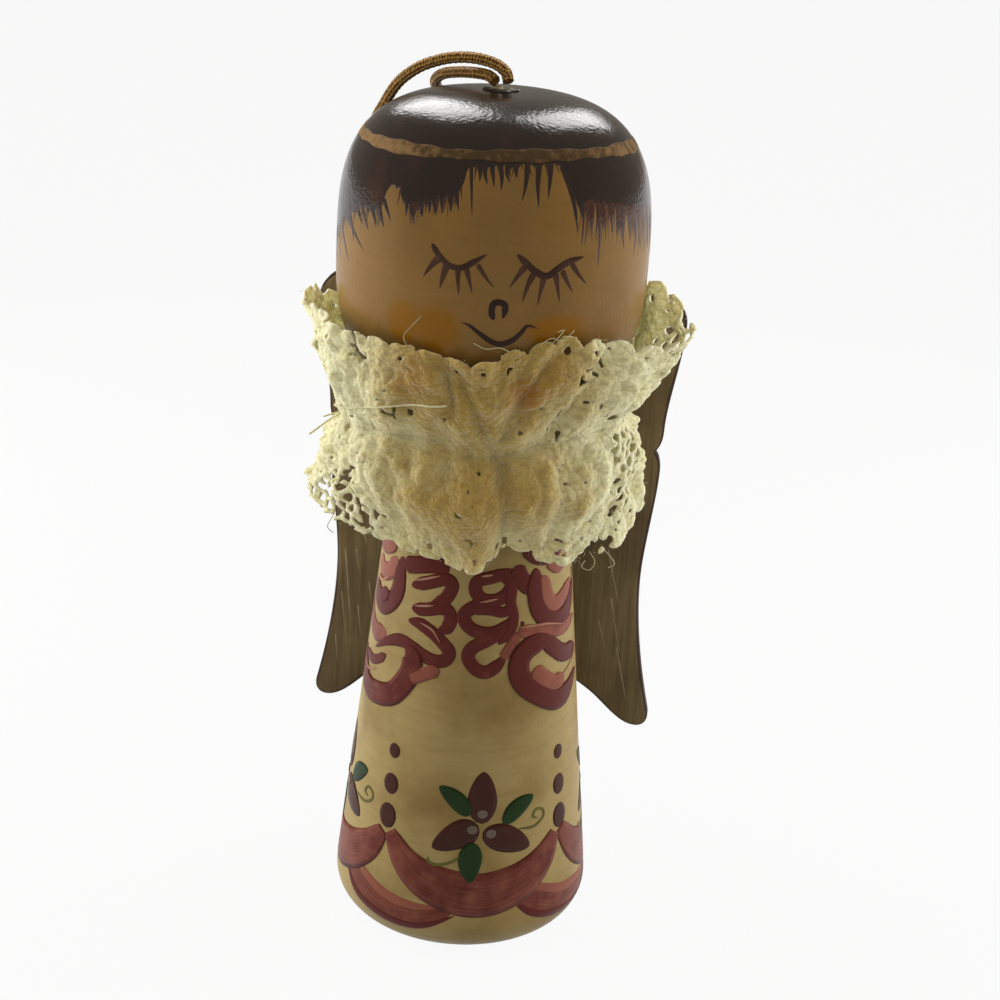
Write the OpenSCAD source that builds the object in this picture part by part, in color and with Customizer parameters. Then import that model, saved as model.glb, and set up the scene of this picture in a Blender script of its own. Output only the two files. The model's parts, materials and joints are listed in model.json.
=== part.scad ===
// Small turned wooden angel: a peg skirt and a barrel-shaped head on a dowel, one flat
// wing panel glued behind, a gathered lace collar tied round the neck and a cord loop.
// The front faces -Y, and the centre of the foot is the origin.

/* [Skirt] */
// Diameter of the skirt at its widest, just above the foot
skirt_d = 28.2; // [26:0.2:31]
// Radius of the rounded edge of the foot
foot_round = 4.4; // [2:0.2:6]
// Height of the skirt, up to the seat of the head
skirt_h = 60; // [56:0.5:66]
// Diameter of the skirt at its top
neck_d = 17; // [15.6:0.2:18.4]
// Radius of the rounded top edge of the skirt
neck_round = 1; // [0.4:0.1:1.6]

/* [Head] */
// Diameter of the head at its widest
head_d = 32; // [29:0.2:35]
// Height from the seat of the head to its widest place
head_low = 15.2; // [13.5:0.1:17]
// Height from the widest place of the head to its crown
head_high = 16.6; // [14:0.1:19]
// Diameter of the flat under the head
head_flat_d = 10; // [8.6:0.2:12]
// Fullness of the crown: 2 is an ellipse, more is squarer
crown_fullness = 3.15; // [2.2:0.05:4]
// Fullness of the jaw: 2 is an ellipse, more is squarer
jaw_fullness = 2.7; // [2.2:0.05:3.4]

/* [Neck dowel] */
// Diameter of the dowel
dowel_d = 6.4; // [4:0.1:7.4]
// Length of the dowel, half of it in each piece
dowel_l = 20; // [12:0.5:24]
// Clearance round the dowel, and beyond its upper end
dowel_clear = 0.1; // [0.05:0.05:0.3]

/* [Wings] */
// Thickness of the wing panel
wing_t = 2; // [1.4:0.1:3]
// Width across the upper lobes
lobe_w = 40.6; // [38:0.2:46]
// Width at the small cusps in the outer edges
cusp_w = 36; // [33:0.2:38]
// Width at the waist of the wings
waist_w = 35; // [31:0.2:37]
// Width across the lower tips
tip_w = 39.2; // [36:0.2:44]
// Rise of the lobes above the seat of the head
lobe_above = 9.7; // [7:0.1:13]
// Drop of the saddle between the lobes below the seat of the head
saddle_below = 3; // [2:0.1:6]
// Drop of the cusps below the seat of the head
cusp_below = 8.3; // [6:0.1:11]
// Drop of the waist below the seat of the head
waist_below = 24.5; // [20:0.5:27]
// Drop of the middle of the lower edge below the seat of the head
crotch_below = 31; // [28:0.5:34]
// Drop of the lower tips below the seat of the head
tip_below = 42; // [38:0.5:45]
// Distance of the bend in the lower edge from the end of a tip
tip_bend_in = 6.6; // [5:0.2:8]
// Rise of the bend in the lower edge above a tip
tip_bend_up = 3.6; // [2.5:0.1:5]
// Turn of the wings round the skirt, as glued, in degrees
wing_turn = 6; // [-10:1:10]
// Depth of the sanded seat in the skirt, at the middle of the wings' lower edge
wing_seat = 0.6; // [0.4:0.1:1]
// Height by which the sanded seat runs below the wings
seat_run = 3; // [2:0.5:5]
// Clearance of the wings from the lace between the lobes
wing_clear = 0.6; // [0.4:0.1:1.2]

/* [Lace collar] */
// Drop of the gathered line below the seat of the head
gather_below = 1; // [0.5:0.1:1.5]
// Height of the upper ruffle
upper_h = 10.5; // [8:0.5:12]
// Height of the lower ruffle
lower_h = 13; // [9:0.5:15]
// Number of folds round the neck
fold_count = 7; // [5:1:9]
// Place of one fold, in degrees from the front towards +X
fold_at = 24; // [0:1:60]
// Spread of the upper ruffle at the hollow of a fold
upper_flare = 1; // [0.4:0.1:2]
// Further spread of the upper ruffle at the crest of a fold
upper_fold = 2.8; // [1:0.1:4]
// Spread of the lower ruffle at the hollow of a fold
lower_flare = 3.2; // [1:0.1:4]
// Further spread of the lower ruffle at the crest of a fold
lower_fold = 4.5; // [1:0.1:5.5]
// Thickness of the collar at its edges
lace_t = 0.6; // [0.4:0.05:0.7]
// Thickness of the collar at the gathered line
pleat_t = 1; // [0.7:0.05:1.2]
// Clearance of the lace from the wood
lace_gap = 0.3; // [0.2:0.05:0.4]

/* [Gathering thread] */
// Diameter of the thread
thread_d = 0.4; // [0.3:0.05:0.6]
// Clearance of the thread's knot from the gathered lace
thread_clear = 0.25; // [0.2:0.05:0.35]
// Diameter of the thread's knot
thread_knot_d = 0.9; // [0.7:0.05:1.2]
// Place of the knot, in degrees from the front towards +X
thread_knot_at = -25; // [-60:1:0]
// Length of the longer tail
long_tail = 13; // [6:0.5:18]
// Length of the shorter tail
short_tail = 9; // [5:0.5:14]
// Turn of the longer tail away from the neck, in degrees from the tangent
long_tail_turn = 30; // [24:1:38]
// Turn of the shorter tail away from the neck, in degrees from the tangent
short_tail_turn = 50; // [40:1:60]
// Drop of the shorter tail, in degrees
short_tail_drop = 35; // [25:1:45]

/* [Hanging cord] */
// Diameter of the cord
cord_d = 1.2; // [1:0.05:1.4]
// Gap between the two strands where they leave the crown
strand_gap = 0.1; // [0.05:0.05:0.3]
// Diameter of the hole in the crown
cord_hole_d = 3.2; // [3:0.1:4.5]
// Depth of the hole in the crown
cord_hole_depth = 9; // [7:0.5:12]
// Diameter of the knot in the hole
cord_knot_d = 2.9; // [2.4:0.1:2.9]
// Height of the fixed cord ends above the crown
cord_stub = 0.2; // [0.1:0.05:0.25]
// Height of the place above the crown where the loop bends
loop_lift = 0.9; // [0.85:0.05:1.2]
// Outer diameter of the dab of glue round the cord
glue_d = 4.4; // [3.9:0.1:6]
// Clearance between the glue and the strands
glue_clear = 0.2; // [0.1:0.05:0.3]
// Height of the dab of glue
glue_h = 0.5; // [0.3:0.05:0.55]

/* [Hidden] */
$fn = 64;

// Small overlap by which a cutter passes the face that it opens
past = 1;

skirt_rad = skirt_d / 2;
neck_rad = neck_d / 2;
head_rad = head_d / 2;

// The straight side of the skirt leans by this angle and leaves the foot's curve at a tangent
lean = atan((skirt_rad - neck_rad) / (skirt_h - foot_round));
side_foot = [skirt_rad - foot_round * (1 - cos(lean)), foot_round * (1 + sin(lean))];

// Radius of the skirt's straight side at height z
function skirt_r(z) =
    side_foot[0] + (neck_rad - side_foot[0]) * (z - side_foot[1]) / (skirt_h - side_foot[1]);

wide_z = skirt_h + head_low;
crown_z = wide_z + head_high;

// Half height of the full jaw curve, which the flat under the head cuts short
jaw_h = head_low / pow(1 - pow(head_flat_d / head_d, jaw_fullness), 1 / jaw_fullness);

// Radius of a curve of given fullness at the share s of its height
function full_curve(s, fullness) = pow(max(1 - pow(min(s, 1), fullness), 0), 1 / fullness);

// Radius of the head at height z, and nothing below its seat
function head_r(z) =
    z < skirt_h ? 0 :
    z > wide_z ? head_rad * full_curve((z - wide_z) / head_high, crown_fullness) :
    head_rad * full_curve((wide_z - z) / jaw_h, jaw_fullness);

// Heights of the wings' points, and the distance of the panel's front from the axis
saddle_z = skirt_h - saddle_below;
lobe_z = skirt_h + lobe_above;
cusp_z = skirt_h - cusp_below;
waist_z = skirt_h - waist_below;
crotch_z = skirt_h - crotch_below;
tip_z = skirt_h - tip_below;
wing_y = skirt_r(crotch_z) - wing_seat;

// Gathered line of the lace, its upper edge, and the inner sides of the lobes, which clear it
gather_z = skirt_h - gather_below;
edge_z = gather_z + upper_h;
back_edge_r = head_r(edge_z) + lace_gap + lace_t;
lobe_in = sqrt(max(pow(back_edge_r, 2) - pow(wing_y, 2), 0)) + wing_clear;
lobe_mid = (lobe_in + lobe_w / 2) / 2;

// Each row is a point of the right half of the wings' outline, from the saddle round to the
// middle of the lower edge, with the handles of its curve before and after the point
wing_nodes = [
    [[0, saddle_z], [0, 0], [4, 0.2]],
    [[lobe_in - 4.2, saddle_z + 3.4], [-2.4, -1.8], [2.2, 1.7]],
    [[lobe_in + 0.3, lobe_z - 4.3], [-1, -2.2], [0.6, 1.8]],
    [[lobe_mid, lobe_z], [-1.6, 0], [1.8, 0]],
    [[lobe_w / 2, lobe_z - 3.4], [0, 1.9], [0, -3.8]],
    [[cusp_w / 2 + 0.8, cusp_z + 2.3], [0.1, 4], [0, -0.9]],
    [[cusp_w / 2, cusp_z], [0.5, 0.5], [0.5, -0.5]],
    [[cusp_w / 2 + 0.7, cusp_z - 2.4], [0, 0.9], [-0.1, -4]],
    [[waist_w / 2, waist_z], [0, 4.5], [0, -5]],
    [[tip_w / 2, tip_z + 2], [-1.2, 5], [0.3, -1.3]],
    [[tip_w / 2 - 1.5, tip_z], [1.1, -0.1], [-1.8, 0.1]],
    [[tip_w / 2 - tip_bend_in, tip_z + tip_bend_up], [1.6, -1.3], [-2.5, 2]],
    [[0, crotch_z], [4, -2], [0, 0]],
];
wing_steps = 6;

// Point at share u of the cubic curve between two rows of wing_nodes
function wing_curve(a, b, u) =
    pow(1 - u, 3) * a[0] + 3 * u * pow(1 - u, 2) * (a[0] + a[2])
    + 3 * u * u * (1 - u) * (b[0] + b[1]) + pow(u, 3) * b[0];

wing_half = [
    for (i = [0 : len(wing_nodes) - 2], k = [0 : wing_steps - 1])
        wing_curve(wing_nodes[i], wing_nodes[i + 1], k / wing_steps),
    wing_nodes[len(wing_nodes) - 1][0],
];
wing_outline = concat(
    wing_half, [for (i = [len(wing_half) - 2 : -1 : 1]) [-wing_half[i][0], wing_half[i][1]]]);

// The lace: rows of points from the upper edge to the lower one, each with its tier
// and its share of the way from the gathered line to the edge
upper_rows = [1, 0.75, 0.5, 0.35, 0.25, 0.15];
lower_rows = [0.15, 0.4, 0.7, 1];
lace_rows = concat([for (s = upper_rows) [1, s]], [[0, 0]], [for (s = lower_rows) [-1, s]]);
columns_per_fold = 8;
lace_columns = fold_count * columns_per_fold;
// Angles from the middle of the back within which the lace is pressed flat, and past which
// it is free
pressed_to = 52;
free_from = 80;
back_at = 180 - wing_turn;

function from_back(a) = abs((a - back_at + 540) % 360 - 180);
function smooth(u) = let (c = min(max(u, 0), 1)) c * c * (3 - 2 * c);
function openness(a) = smooth((from_back(a) - pressed_to) / (free_from - pressed_to));
function fold(a) = (1 + cos(fold_count * (a - fold_at))) / 2;

function row_z(row) = gather_z + (row[0] > 0 ? upper_h : -lower_h) * row[1];
function row_in(row, a) =
    let (spread = openness(a) * row[1])
    row[0] > 0
        ? max(neck_rad, head_r(row_z(row))) + lace_gap + spread * (upper_flare + upper_fold * fold(a))
        : skirt_r(row_z(row)) + lace_gap + spread * (lower_flare + lower_fold * fold(a));
function row_out(row, a) =
    let (free = row_in(row, a) + pleat_t + (lace_t - pleat_t) * row[1], b = from_back(a))
    row[0] > 0 || b > pressed_to ? free : min(free, (wing_y - lace_gap) / cos(b));
function around(r, a, z) = [r * sin(a), -r * cos(a), z];

// The thread lies round the gathers, far enough out for its knot to clear them
thread_rad = neck_rad + lace_gap + pleat_t + thread_clear + thread_knot_d / 2;

// The loop of cord: its route from one strand's end at the crown to the other's, from the
// place where it bends
strand_x = (cord_d + strand_gap) / 2;
loop_route = [
    [strand_x, 0, 0], [0.3, 0.6, 0.9], [-1, 1.3, 1.6], [-3.2, 2, 1.9], [-5.6, 2.8, 1.6],
    [-8, 3.6, 0.7], [-9.7, 4.6, -0.5], [-10.9, 5.6, -1.8], [-12.1, 7, -3.9], [-13.2, 8.4, -6.3],
    [-13.6, 10.4, -9.5], [-12.8, 12.6, -13.1], [-10.6, 14.9, -16.7], [-7.6, 16.6, -19.3],
    [-4.4, 17.4, -20.3], [-1.6, 17.3, -19.1], [-0.6, 17.1, -16.1], [-1.4, 16.9, -12.5],
    [-3.2, 16.2, -9.1], [-5.2, 14.4, -5.7], [-6.6, 11.5, -3.1], [-7, 8.8, -1.6],
    [-6.2, 6.4, -0.5], [-4.6, 4.2, 0.1], [-2.8, 2.2, 0.4], [-1.4, 0.8, 0.4], [-strand_x, 0, 0],
];
cord_sides = 8;
bend_z = crown_z + loop_lift;

function unit(v) = v / norm(v);
// The route with one more point eased in between each two
function eased(p) = [
    for (i = [0 : len(p) - 2])
        each [p[i], (9 * (p[i] + p[i + 1]) - p[max(i - 1, 0)] - p[min(i + 2, len(p) - 1)]) / 16],
    p[len(p) - 1],
];
function headings(p) =
    [for (i = [0 : len(p) - 1]) unit(p[min(i + 1, len(p) - 1)] - p[max(i - 1, 0)])];
// The side direction n carried along the headings t without twist
function carried(t, n, i = 0) =
    i == len(t) ? [] : let (m = unit(n - (n * t[i]) * t[i])) concat([m], carried(t, m, i + 1));
function hoop(c, t, n, r) =
    [for (k = [0 : cord_sides - 1])
        let (a = 360 * k / cord_sides) c + r * (cos(a) * n + sin(a) * cross(t, n))];

// A round tube of radius r along the points p
module tube(p, r) {
    t = headings(p);
    n = carried(t, [0, -1, 0]);
    m = cord_sides;
    last = (len(p) - 1) * m;
    points = [for (i = [0 : len(p) - 1]) each hoop(p[i], t[i], n[i], r)];
    sides = [
        for (i = [0 : len(p) - 2], k = [0 : m - 1])
            let (a = i * m + k, b = i * m + (k + 1) % m)
            each [[a, a + m, b + m], [a, b + m, b]],
    ];
    ends = [for (k = [1 : m - 2]) each [[0, k, k + 1], [last, last + k + 1, last + k]]];
    polyhedron(points, concat(sides, ends));
}

module skirt_profile() {
    arc_steps = 12;
    foot = [
        for (i = [0 : arc_steps])
            let (a = -90 + (90 + lean) * i / arc_steps)
            [skirt_rad - foot_round + foot_round * cos(a), foot_round + foot_round * sin(a)],
    ];
    shoulder = [
        for (i = [0 : arc_steps])
            let (a = lean + (90 - lean) * i / arc_steps)
            [neck_rad - neck_round + neck_round * cos(a), skirt_h - neck_round + neck_round * sin(a)],
    ];
    polygon(concat([[0, 0]], foot, shoulder, [[0, skirt_h]]));
}

module skirt() {
    color("#c9bb88") difference() {
        rotate_extrude() skirt_profile();
        translate([0, 0, skirt_h - dowel_l / 2])
            cylinder(d = dowel_d + 2 * dowel_clear, h = dowel_l / 2 + past);
        rotate(-wing_turn)
            translate([-skirt_rad, wing_y, crotch_z - seat_run])
                cube([skirt_d, skirt_rad, skirt_h]);
    }
}

module head_profile() {
    steps = 30;
    crown = [
        for (i = [0 : steps])
            let (a = 90 * i / steps)
            [head_rad * pow(cos(a), 2 / crown_fullness), wide_z + head_high * pow(sin(a), 2 / crown_fullness)],
    ];
    jaw_end = asin(pow(head_low / jaw_h, jaw_fullness / 2));
    jaw = [
        for (i = [0 : steps - 1])
            let (a = jaw_end * (1 - i / steps))
            [head_rad * pow(cos(a), 2 / jaw_fullness), wide_z - jaw_h * pow(sin(a), 2 / jaw_fullness)],
    ];
    polygon(concat([[0, skirt_h]], jaw, crown));
}

module head() {
    color("#a4825a") difference() {
        rotate_extrude() head_profile();
        translate([0, 0, skirt_h - past])
            cylinder(d = dowel_d + 2 * dowel_clear, h = dowel_l / 2 + dowel_clear + past);
        translate([0, 0, crown_z - cord_hole_depth])
            cylinder(d = cord_hole_d, h = cord_hole_depth + past);
    }
}

module neck_dowel() {
    color("#d8bf94") translate([0, 0, skirt_h - dowel_l / 2]) cylinder(d = dowel_d, h = dowel_l);
}

module wing_panel() {
    color("#5a4d38") rotate(-wing_turn)
        translate([0, wing_y + wing_t, 0]) rotate([90, 0, 0]) linear_extrude(wing_t) polygon(wing_outline);
}

module lace_collar() {
    m = 2 * len(lace_rows);
    points = [
        for (i = [0 : lace_columns - 1])
            let (a = 360 * i / lace_columns)
            each [
                for (row = lace_rows) around(row_out(row, a), a, row_z(row)),
                for (k = [len(lace_rows) - 1 : -1 : 0])
                    around(row_in(lace_rows[k], a), a, row_z(lace_rows[k])),
            ],
    ];
    faces = [
        for (i = [0 : lace_columns - 1], k = [0 : m - 1])
            let (a = i * m, b = (i + 1) % lace_columns * m, n = (k + 1) % m)
            each [[a + k, a + n, b + n], [a + k, b + n, b + k]],
    ];
    color("#d6c795") polyhedron(points, faces);
}

// One loose end of the thread, from the knot, turned away from the neck and dropping by angles
module thread_tail(l, turn, drop) {
    translate(around(thread_rad, thread_knot_at, gather_z))
        rotate([0, 0, thread_knot_at + turn]) rotate([0, -90 - drop, 0]) cylinder(d = thread_d, h = l);
}

module gathering_thread() {
    color("#ece6d8") union() {
        translate([0, 0, gather_z]) rotate_extrude() translate([thread_rad, 0]) circle(d = thread_d);
        translate(around(thread_rad, thread_knot_at, gather_z)) sphere(d = thread_knot_d);
        thread_tail(long_tail, long_tail_turn, 0);
        thread_tail(short_tail, short_tail_turn, short_tail_drop);
    }
}

module cord_ends() {
    knot_z = crown_z - cord_hole_depth + cord_knot_d / 2;
    color("#9c7446") union() {
        for (side = [-1, 1])
            translate([side * strand_x, 0, knot_z]) cylinder(d = cord_d, h = crown_z + cord_stub - knot_z);
        translate([0, 0, knot_z]) sphere(d = cord_knot_d);
    }
}

module cord_glue() {
    glue_in = strand_x + cord_d / 2 + glue_clear;
    glue_out = glue_d / 2;
    // A low mound: flat below, half an ellipse above
    steps = 12;
    color("#c8c096") translate([0, 0, crown_z]) rotate_extrude()
        polygon([
            for (i = [0 : steps])
                let (a = 180 * i / steps)
                [(glue_in + glue_out) / 2 + (glue_out - glue_in) / 2 * cos(a), glue_h * sin(a)],
        ]);
}

module hanging_loop() {
    color("#a07a3c") translate([0, 0, bend_z]) tube(eased(loop_route), cord_d / 2);
}

skirt();
head();
neck_dowel();
wing_panel();
lace_collar();
gathering_thread();
cord_ends();
cord_glue();
hanging_loop();
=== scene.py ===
"""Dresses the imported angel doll: turned wood, brush paint, cut wings, gathered lace, thread and cord."""
import json
import math

import bpy
import numpy as np
from bpy.props import FloatProperty, FloatVectorProperty, PointerProperty
from mathutils import Matrix, Vector


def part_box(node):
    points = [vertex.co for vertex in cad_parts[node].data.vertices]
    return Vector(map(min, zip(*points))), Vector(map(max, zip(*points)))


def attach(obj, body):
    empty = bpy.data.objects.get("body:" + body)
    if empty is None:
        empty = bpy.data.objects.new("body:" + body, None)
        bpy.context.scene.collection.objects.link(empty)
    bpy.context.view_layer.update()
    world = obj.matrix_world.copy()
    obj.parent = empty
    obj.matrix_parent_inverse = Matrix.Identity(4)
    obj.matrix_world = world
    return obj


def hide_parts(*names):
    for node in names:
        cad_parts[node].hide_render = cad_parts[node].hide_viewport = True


bl_info = {
    "name": "Turned Angel Doll",
    "version": (1, 0, 0),
    "blender": (4, 5, 0),
    "location": "View3D > Sidebar > Doll",
    "description": "Builds the looks of a small turned angel doll round its packed frame",
    "category": "Add Mesh",
}

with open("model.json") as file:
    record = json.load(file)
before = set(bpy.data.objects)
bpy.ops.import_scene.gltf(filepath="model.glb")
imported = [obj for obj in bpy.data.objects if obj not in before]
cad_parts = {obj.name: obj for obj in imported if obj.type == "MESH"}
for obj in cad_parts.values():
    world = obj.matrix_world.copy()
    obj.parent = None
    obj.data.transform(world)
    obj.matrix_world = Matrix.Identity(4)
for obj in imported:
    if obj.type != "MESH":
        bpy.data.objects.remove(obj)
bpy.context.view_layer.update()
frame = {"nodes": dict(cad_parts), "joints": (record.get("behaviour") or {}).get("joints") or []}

# Shapes are worked out in millimetres and degrees, and put into meshes in metres
MM = 0.001
DEG = math.pi / 180


def node_box(node):
    """Lowest and highest corner of a CAD node, in millimetres."""
    return [np.array(corner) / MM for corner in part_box(node)]


SKIRT_RAD, _, SKIRT_H = node_box("skirt")[1]
HEAD_RAD, _, CROWN_Z = node_box("head")[1]
SEAT_Z = node_box("head")[0][2]
BEND_Z = [j["pos_m"][2] for j in frame["joints"] if j["name"] == "loop_swing"][0] / MM


def linear(red, green, blue):
    """A colour written in 0 to 255 as a screen shows it, in Blender's linear values."""
    share = np.array([red, green, blue]) / 255
    bright = ((share + 0.055) / 1.055) ** 2.4
    return tuple(float(c) for c in np.where(share > 0.04045, bright, share / 12.92))


def length(name, description, value):
    """A size property, given in millimetres."""
    return FloatProperty(
        name=name, description=description, default=value * MM, min=0, unit="LENGTH", precision=5)


def number(name, description, value):
    """A plain number property, such as a count or a fullness."""
    return FloatProperty(name=name, description=description, default=value)


def angle(name, description, value):
    """An angle property, given in degrees."""
    return FloatProperty(name=name, description=description, default=value * DEG, subtype="ANGLE")


def colour(name, description, *screen):
    """A colour property, given in 0 to 255 as a screen shows it."""
    return FloatVectorProperty(
        name=name, description=description, default=linear(*screen), size=3, min=0, max=1, subtype="COLOR")


class SkirtSizes(bpy.types.PropertyGroup):
    """Sizes of the turned skirt"""
    neck_radius: length("Neck radius", "Radius of the skirt at its top", 8.5)
    foot_round: length("Foot round", "Radius of the rounded edge of the foot", 4.4)
    neck_round: length("Neck round", "Radius of the rounded top edge", 1.0)
    dowel_hole: length("Dowel hole", "Radius of the hole for the neck dowel", 3.3)
    dowel_depth: length("Dowel depth", "Depth of that hole", 10.0)
    seat_low: length("Seat", "Height at which the sanded seat of the wings begins", 26.0)


class HeadSizes(bpy.types.PropertyGroup):
    """Sizes of the turned head"""
    wide_height: length("Widest place", "Height of the head's widest place above its seat", 15.2)
    flat_radius: length("Flat", "Radius of the flat under the head", 5.0)
    crown_fullness: number("Crown fullness", "Squareness of the crown, where 2 is an ellipse", 3.15)
    jaw_fullness: number("Jaw fullness", "Squareness of the jaw, where 2 is an ellipse", 2.7)
    cord_hole: length("Cord hole", "Radius of the hole for the cord", 1.6)
    cord_depth: length("Cord hole depth", "Depth of that hole", 9.0)
    halo_height: length("Halo height", "Height of the gold band above the head's seat", 27.6)
    halo_width: length("Halo width", "Width of the gold band", 1.0)


class WingSizes(bpy.types.PropertyGroup):
    """Sizes of the flat wing panel"""
    thickness: length("Thickness", "Thickness of the wing panel", 2.0)
    front: length("Front", "Distance of the panel's front from the doll's axis", 11.0)
    turn: angle("Turn", "Turn of the wings round the skirt, as glued", 6.0)
    edge_round: length("Edge round", "Rounding of the sanded edges", 0.5)


class LaceSizes(bpy.types.PropertyGroup):
    """Sizes of the gathered lace collar"""
    strip: length("Strip", "Length of the lace strip before it was gathered", 100.0)
    gather_height: length("Gather", "Height of the gathered line", 59.0)
    waist: length("Waist", "Radius at which the two ruffles leave the gathers in front", 13.4)
    tuck: number("Tuck", "Share of each ruffle that lies hidden in the gathers", 0.14)
    upper_width: length("Upper width", "Width of the strip above the gathered line", 11.4)
    lower_width: length("Lower width", "Width of the strip below the gathered line", 14.0)
    gap: length("Gap", "Clearance of the lace from the wood", 0.5)
    thread: length("Thread", "Thickness of the lace", 0.26)
    cell: length("Cell", "Size of the grid cells that the lace is cut from", 0.18)
    net: length("Net", "Spacing of the holes in the net", 1.25)
    scallop: length("Scallop", "Length of one scallop of the edge", 2.7)
    fibre: length("Fibre", "Length of the longest fibres that stand off the cotton", 0.7)
    fibre_radius: length("Fibre radius", "Radius of those fibres", 0.02)
    fibres: number("Fibres", "Number of fibres on each ruffle", 700)


class CordSizes(bpy.types.PropertyGroup):
    """Sizes of the hanging cord and of the gathering thread"""
    diameter: length("Cord", "Diameter of the twisted cord", 1.2)
    lay: length("Lay", "Length in which one strand goes once round the cord", 2.6)
    thread: length("Thread", "Diameter of the gathering thread", 0.2)
    glue_radius: length("Glue", "Radius of the dab of glue at the crown", 1.8)
    glue_height: length("Glue height", "Height of the dab of glue", 0.45)


class PaintColours(bpy.types.PropertyGroup):
    """Colours of the paints and trims"""
    skirt: colour("Skirt", "Cream ground of the skirt", 154, 134, 86)
    skirt_worn: colour("Skirt worn", "Yellowed places of the skirt", 126, 103, 57)
    burgundy: colour("Burgundy", "Dark tone of the ribbons and swags", 80, 27, 20)
    pink: colour("Pink", "Light tone of the ribbons and swags", 130, 75, 57)
    glint: colour("Ribbon glint", "Pale lines on the ribbons", 174, 138, 112)
    plum: colour("Petal", "Flower petals and dots", 71, 34, 21)
    leaf: colour("Leaf", "Leaves", 26, 54, 5)
    vine: colour("Vine", "Tendrils", 108, 101, 48)
    spot: colour("Spot", "Grey spots at the flower's middle", 112, 98, 85)
    skin: colour("Skin", "Ground of the face", 128, 96, 49)
    cheek: colour("Cheek", "Orange of the cheeks", 130, 85, 4)
    hair: colour("Hair", "Brown-black of the hair", 34, 22, 16)
    hair_dry: colour("Dry brush", "Reddish brown where the brush ran dry", 70, 36, 22)
    line: colour("Line", "Painted lines of the face", 38, 23, 14)
    halo: colour("Halo", "Gold of the band round the hair", 121, 94, 60)
    wing: colour("Wing", "Ground of the wings", 118, 102, 70)
    wing_edge: colour("Wing edge", "Dark edge of the wings", 44, 27, 18)
    streak: colour("Streak", "Pale strokes on the wings", 168, 156, 132)
    lace: colour("Lace", "Cream of the lace", 250, 243, 190)
    # Lace front tone: partly yellowing, partly painted shade; darkened, it is also the lace's painted shade
    lace_aged: colour("Aged lace", "Yellow-brown of the lace in front", 184, 153, 78)
    stain: colour("Stain", "Glue stains on the lace", 162, 100, 9)
    cord: colour("Cord", "Gold of the cord", 186, 142, 77)
    glue: colour("Glue", "Dab of glue", 147, 138, 108)
    wood: colour("Wood", "Bare wood", 206, 178, 130)


class StageSizes(bpy.types.PropertyGroup):
    """Camera and lights"""
    camera_height: length("Camera height", "Height of the camera above the floor", 121.37)
    camera_distance: length("Camera distance", "Distance of the camera in front of the doll", 200.47)
    camera_aside: length("Camera aside", "Distance of the camera to the doll's left", 2.19)
    aim_height: length("Aim height", "Height of the point that the camera looks at", 48.4)
    camera_roll: angle("Roll", "Lean of the camera", 3.27)
    focal: number("Focal length", "Focal length on a 36 mm wide sensor", 71.64)
    left_light: number("Left light", "Power of the light at the doll's right hand", 1.3)
    right_light: number("Right light", "Power of the light at the doll's left hand", 1.02)
    top_light: number("Top light", "Power of the light overhead", 0.16)
    front_light: number("Front light", "Power of the weak light in front", 0.13)
    gloss_light: number("Gloss lights", "Power of each light that only gloss shows", 0.3)
    ambient: number("Ambient", "Strength of the even light all round", 0.28)


SETTINGS = {
    "doll_skirt": SkirtSizes,
    "doll_head": HeadSizes,
    "doll_wings": WingSizes,
    "doll_lace": LaceSizes,
    "doll_cord": CordSizes,
    "doll_paint": PaintColours,
    "doll_stage": StageSizes,
}


class Settings:
    """Reads one of the scene's property groups, with lengths in millimetres and angles in degrees."""

    def __init__(self, group):
        self.group = getattr(bpy.context.scene, group)

    def __getattr__(self, name):
        rna = self.group.bl_rna.properties[name]
        value = getattr(self.group, name)
        if rna.is_array:
            return (*value, 1.0)
        if rna.unit == "LENGTH":
            return value / MM
        return value / DEG if rna.unit == "ROTATION" else value


# Meshes


def grid_quads(rows, columns, wrap_rows=False, wrap_columns=False):
    """Corner numbers of the quads of a grid whose points are numbered row by row."""
    i = np.arange(rows if wrap_rows else rows - 1)[:, None]
    j = np.arange(columns if wrap_columns else columns - 1)[None, :]
    below = i * columns
    above = (i + 1) % rows * columns
    beside = (j + 1) % columns
    return np.stack([below + j, below + beside, above + beside, above + j], axis=-1).reshape(-1, 4)


class Pile:
    """Points, faces, flat coordinates and marks of the parts that go into one mesh."""

    def __init__(self):
        self.points, self.quads, self.caps, self.flat, self.marks = [], [], [], [], []
        self.count = 0

    def add(self, points, quads, caps=(), flat=None, mark=0.0):
        points = points.reshape(-1, 3)
        total = len(points)
        self.points.append(points)
        self.quads.append(quads + self.count)
        self.caps += [np.asarray(cap) + self.count for cap in caps]
        self.flat.append(np.zeros((total, 2)) if flat is None else flat.reshape(-1, 2))
        self.marks.append(np.broadcast_to(np.asarray(mark, float), (total,)))
        self.count += total

    def add_skin(self, points, flat=None, mark=0.0, ring=False):
        """A grid whose rows are closed lines, with a face over its first and its last row or, as a
        ring, with its last row joined to its first."""
        rows, columns = points.shape[:2]
        line = np.arange(columns)
        caps = [] if ring else [line[::-1], (rows - 1) * columns + line]
        marks = np.broadcast_to(mark, (rows, columns)).ravel()
        self.add(points, grid_quads(rows, columns, ring, True), caps, flat, marks)


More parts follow.
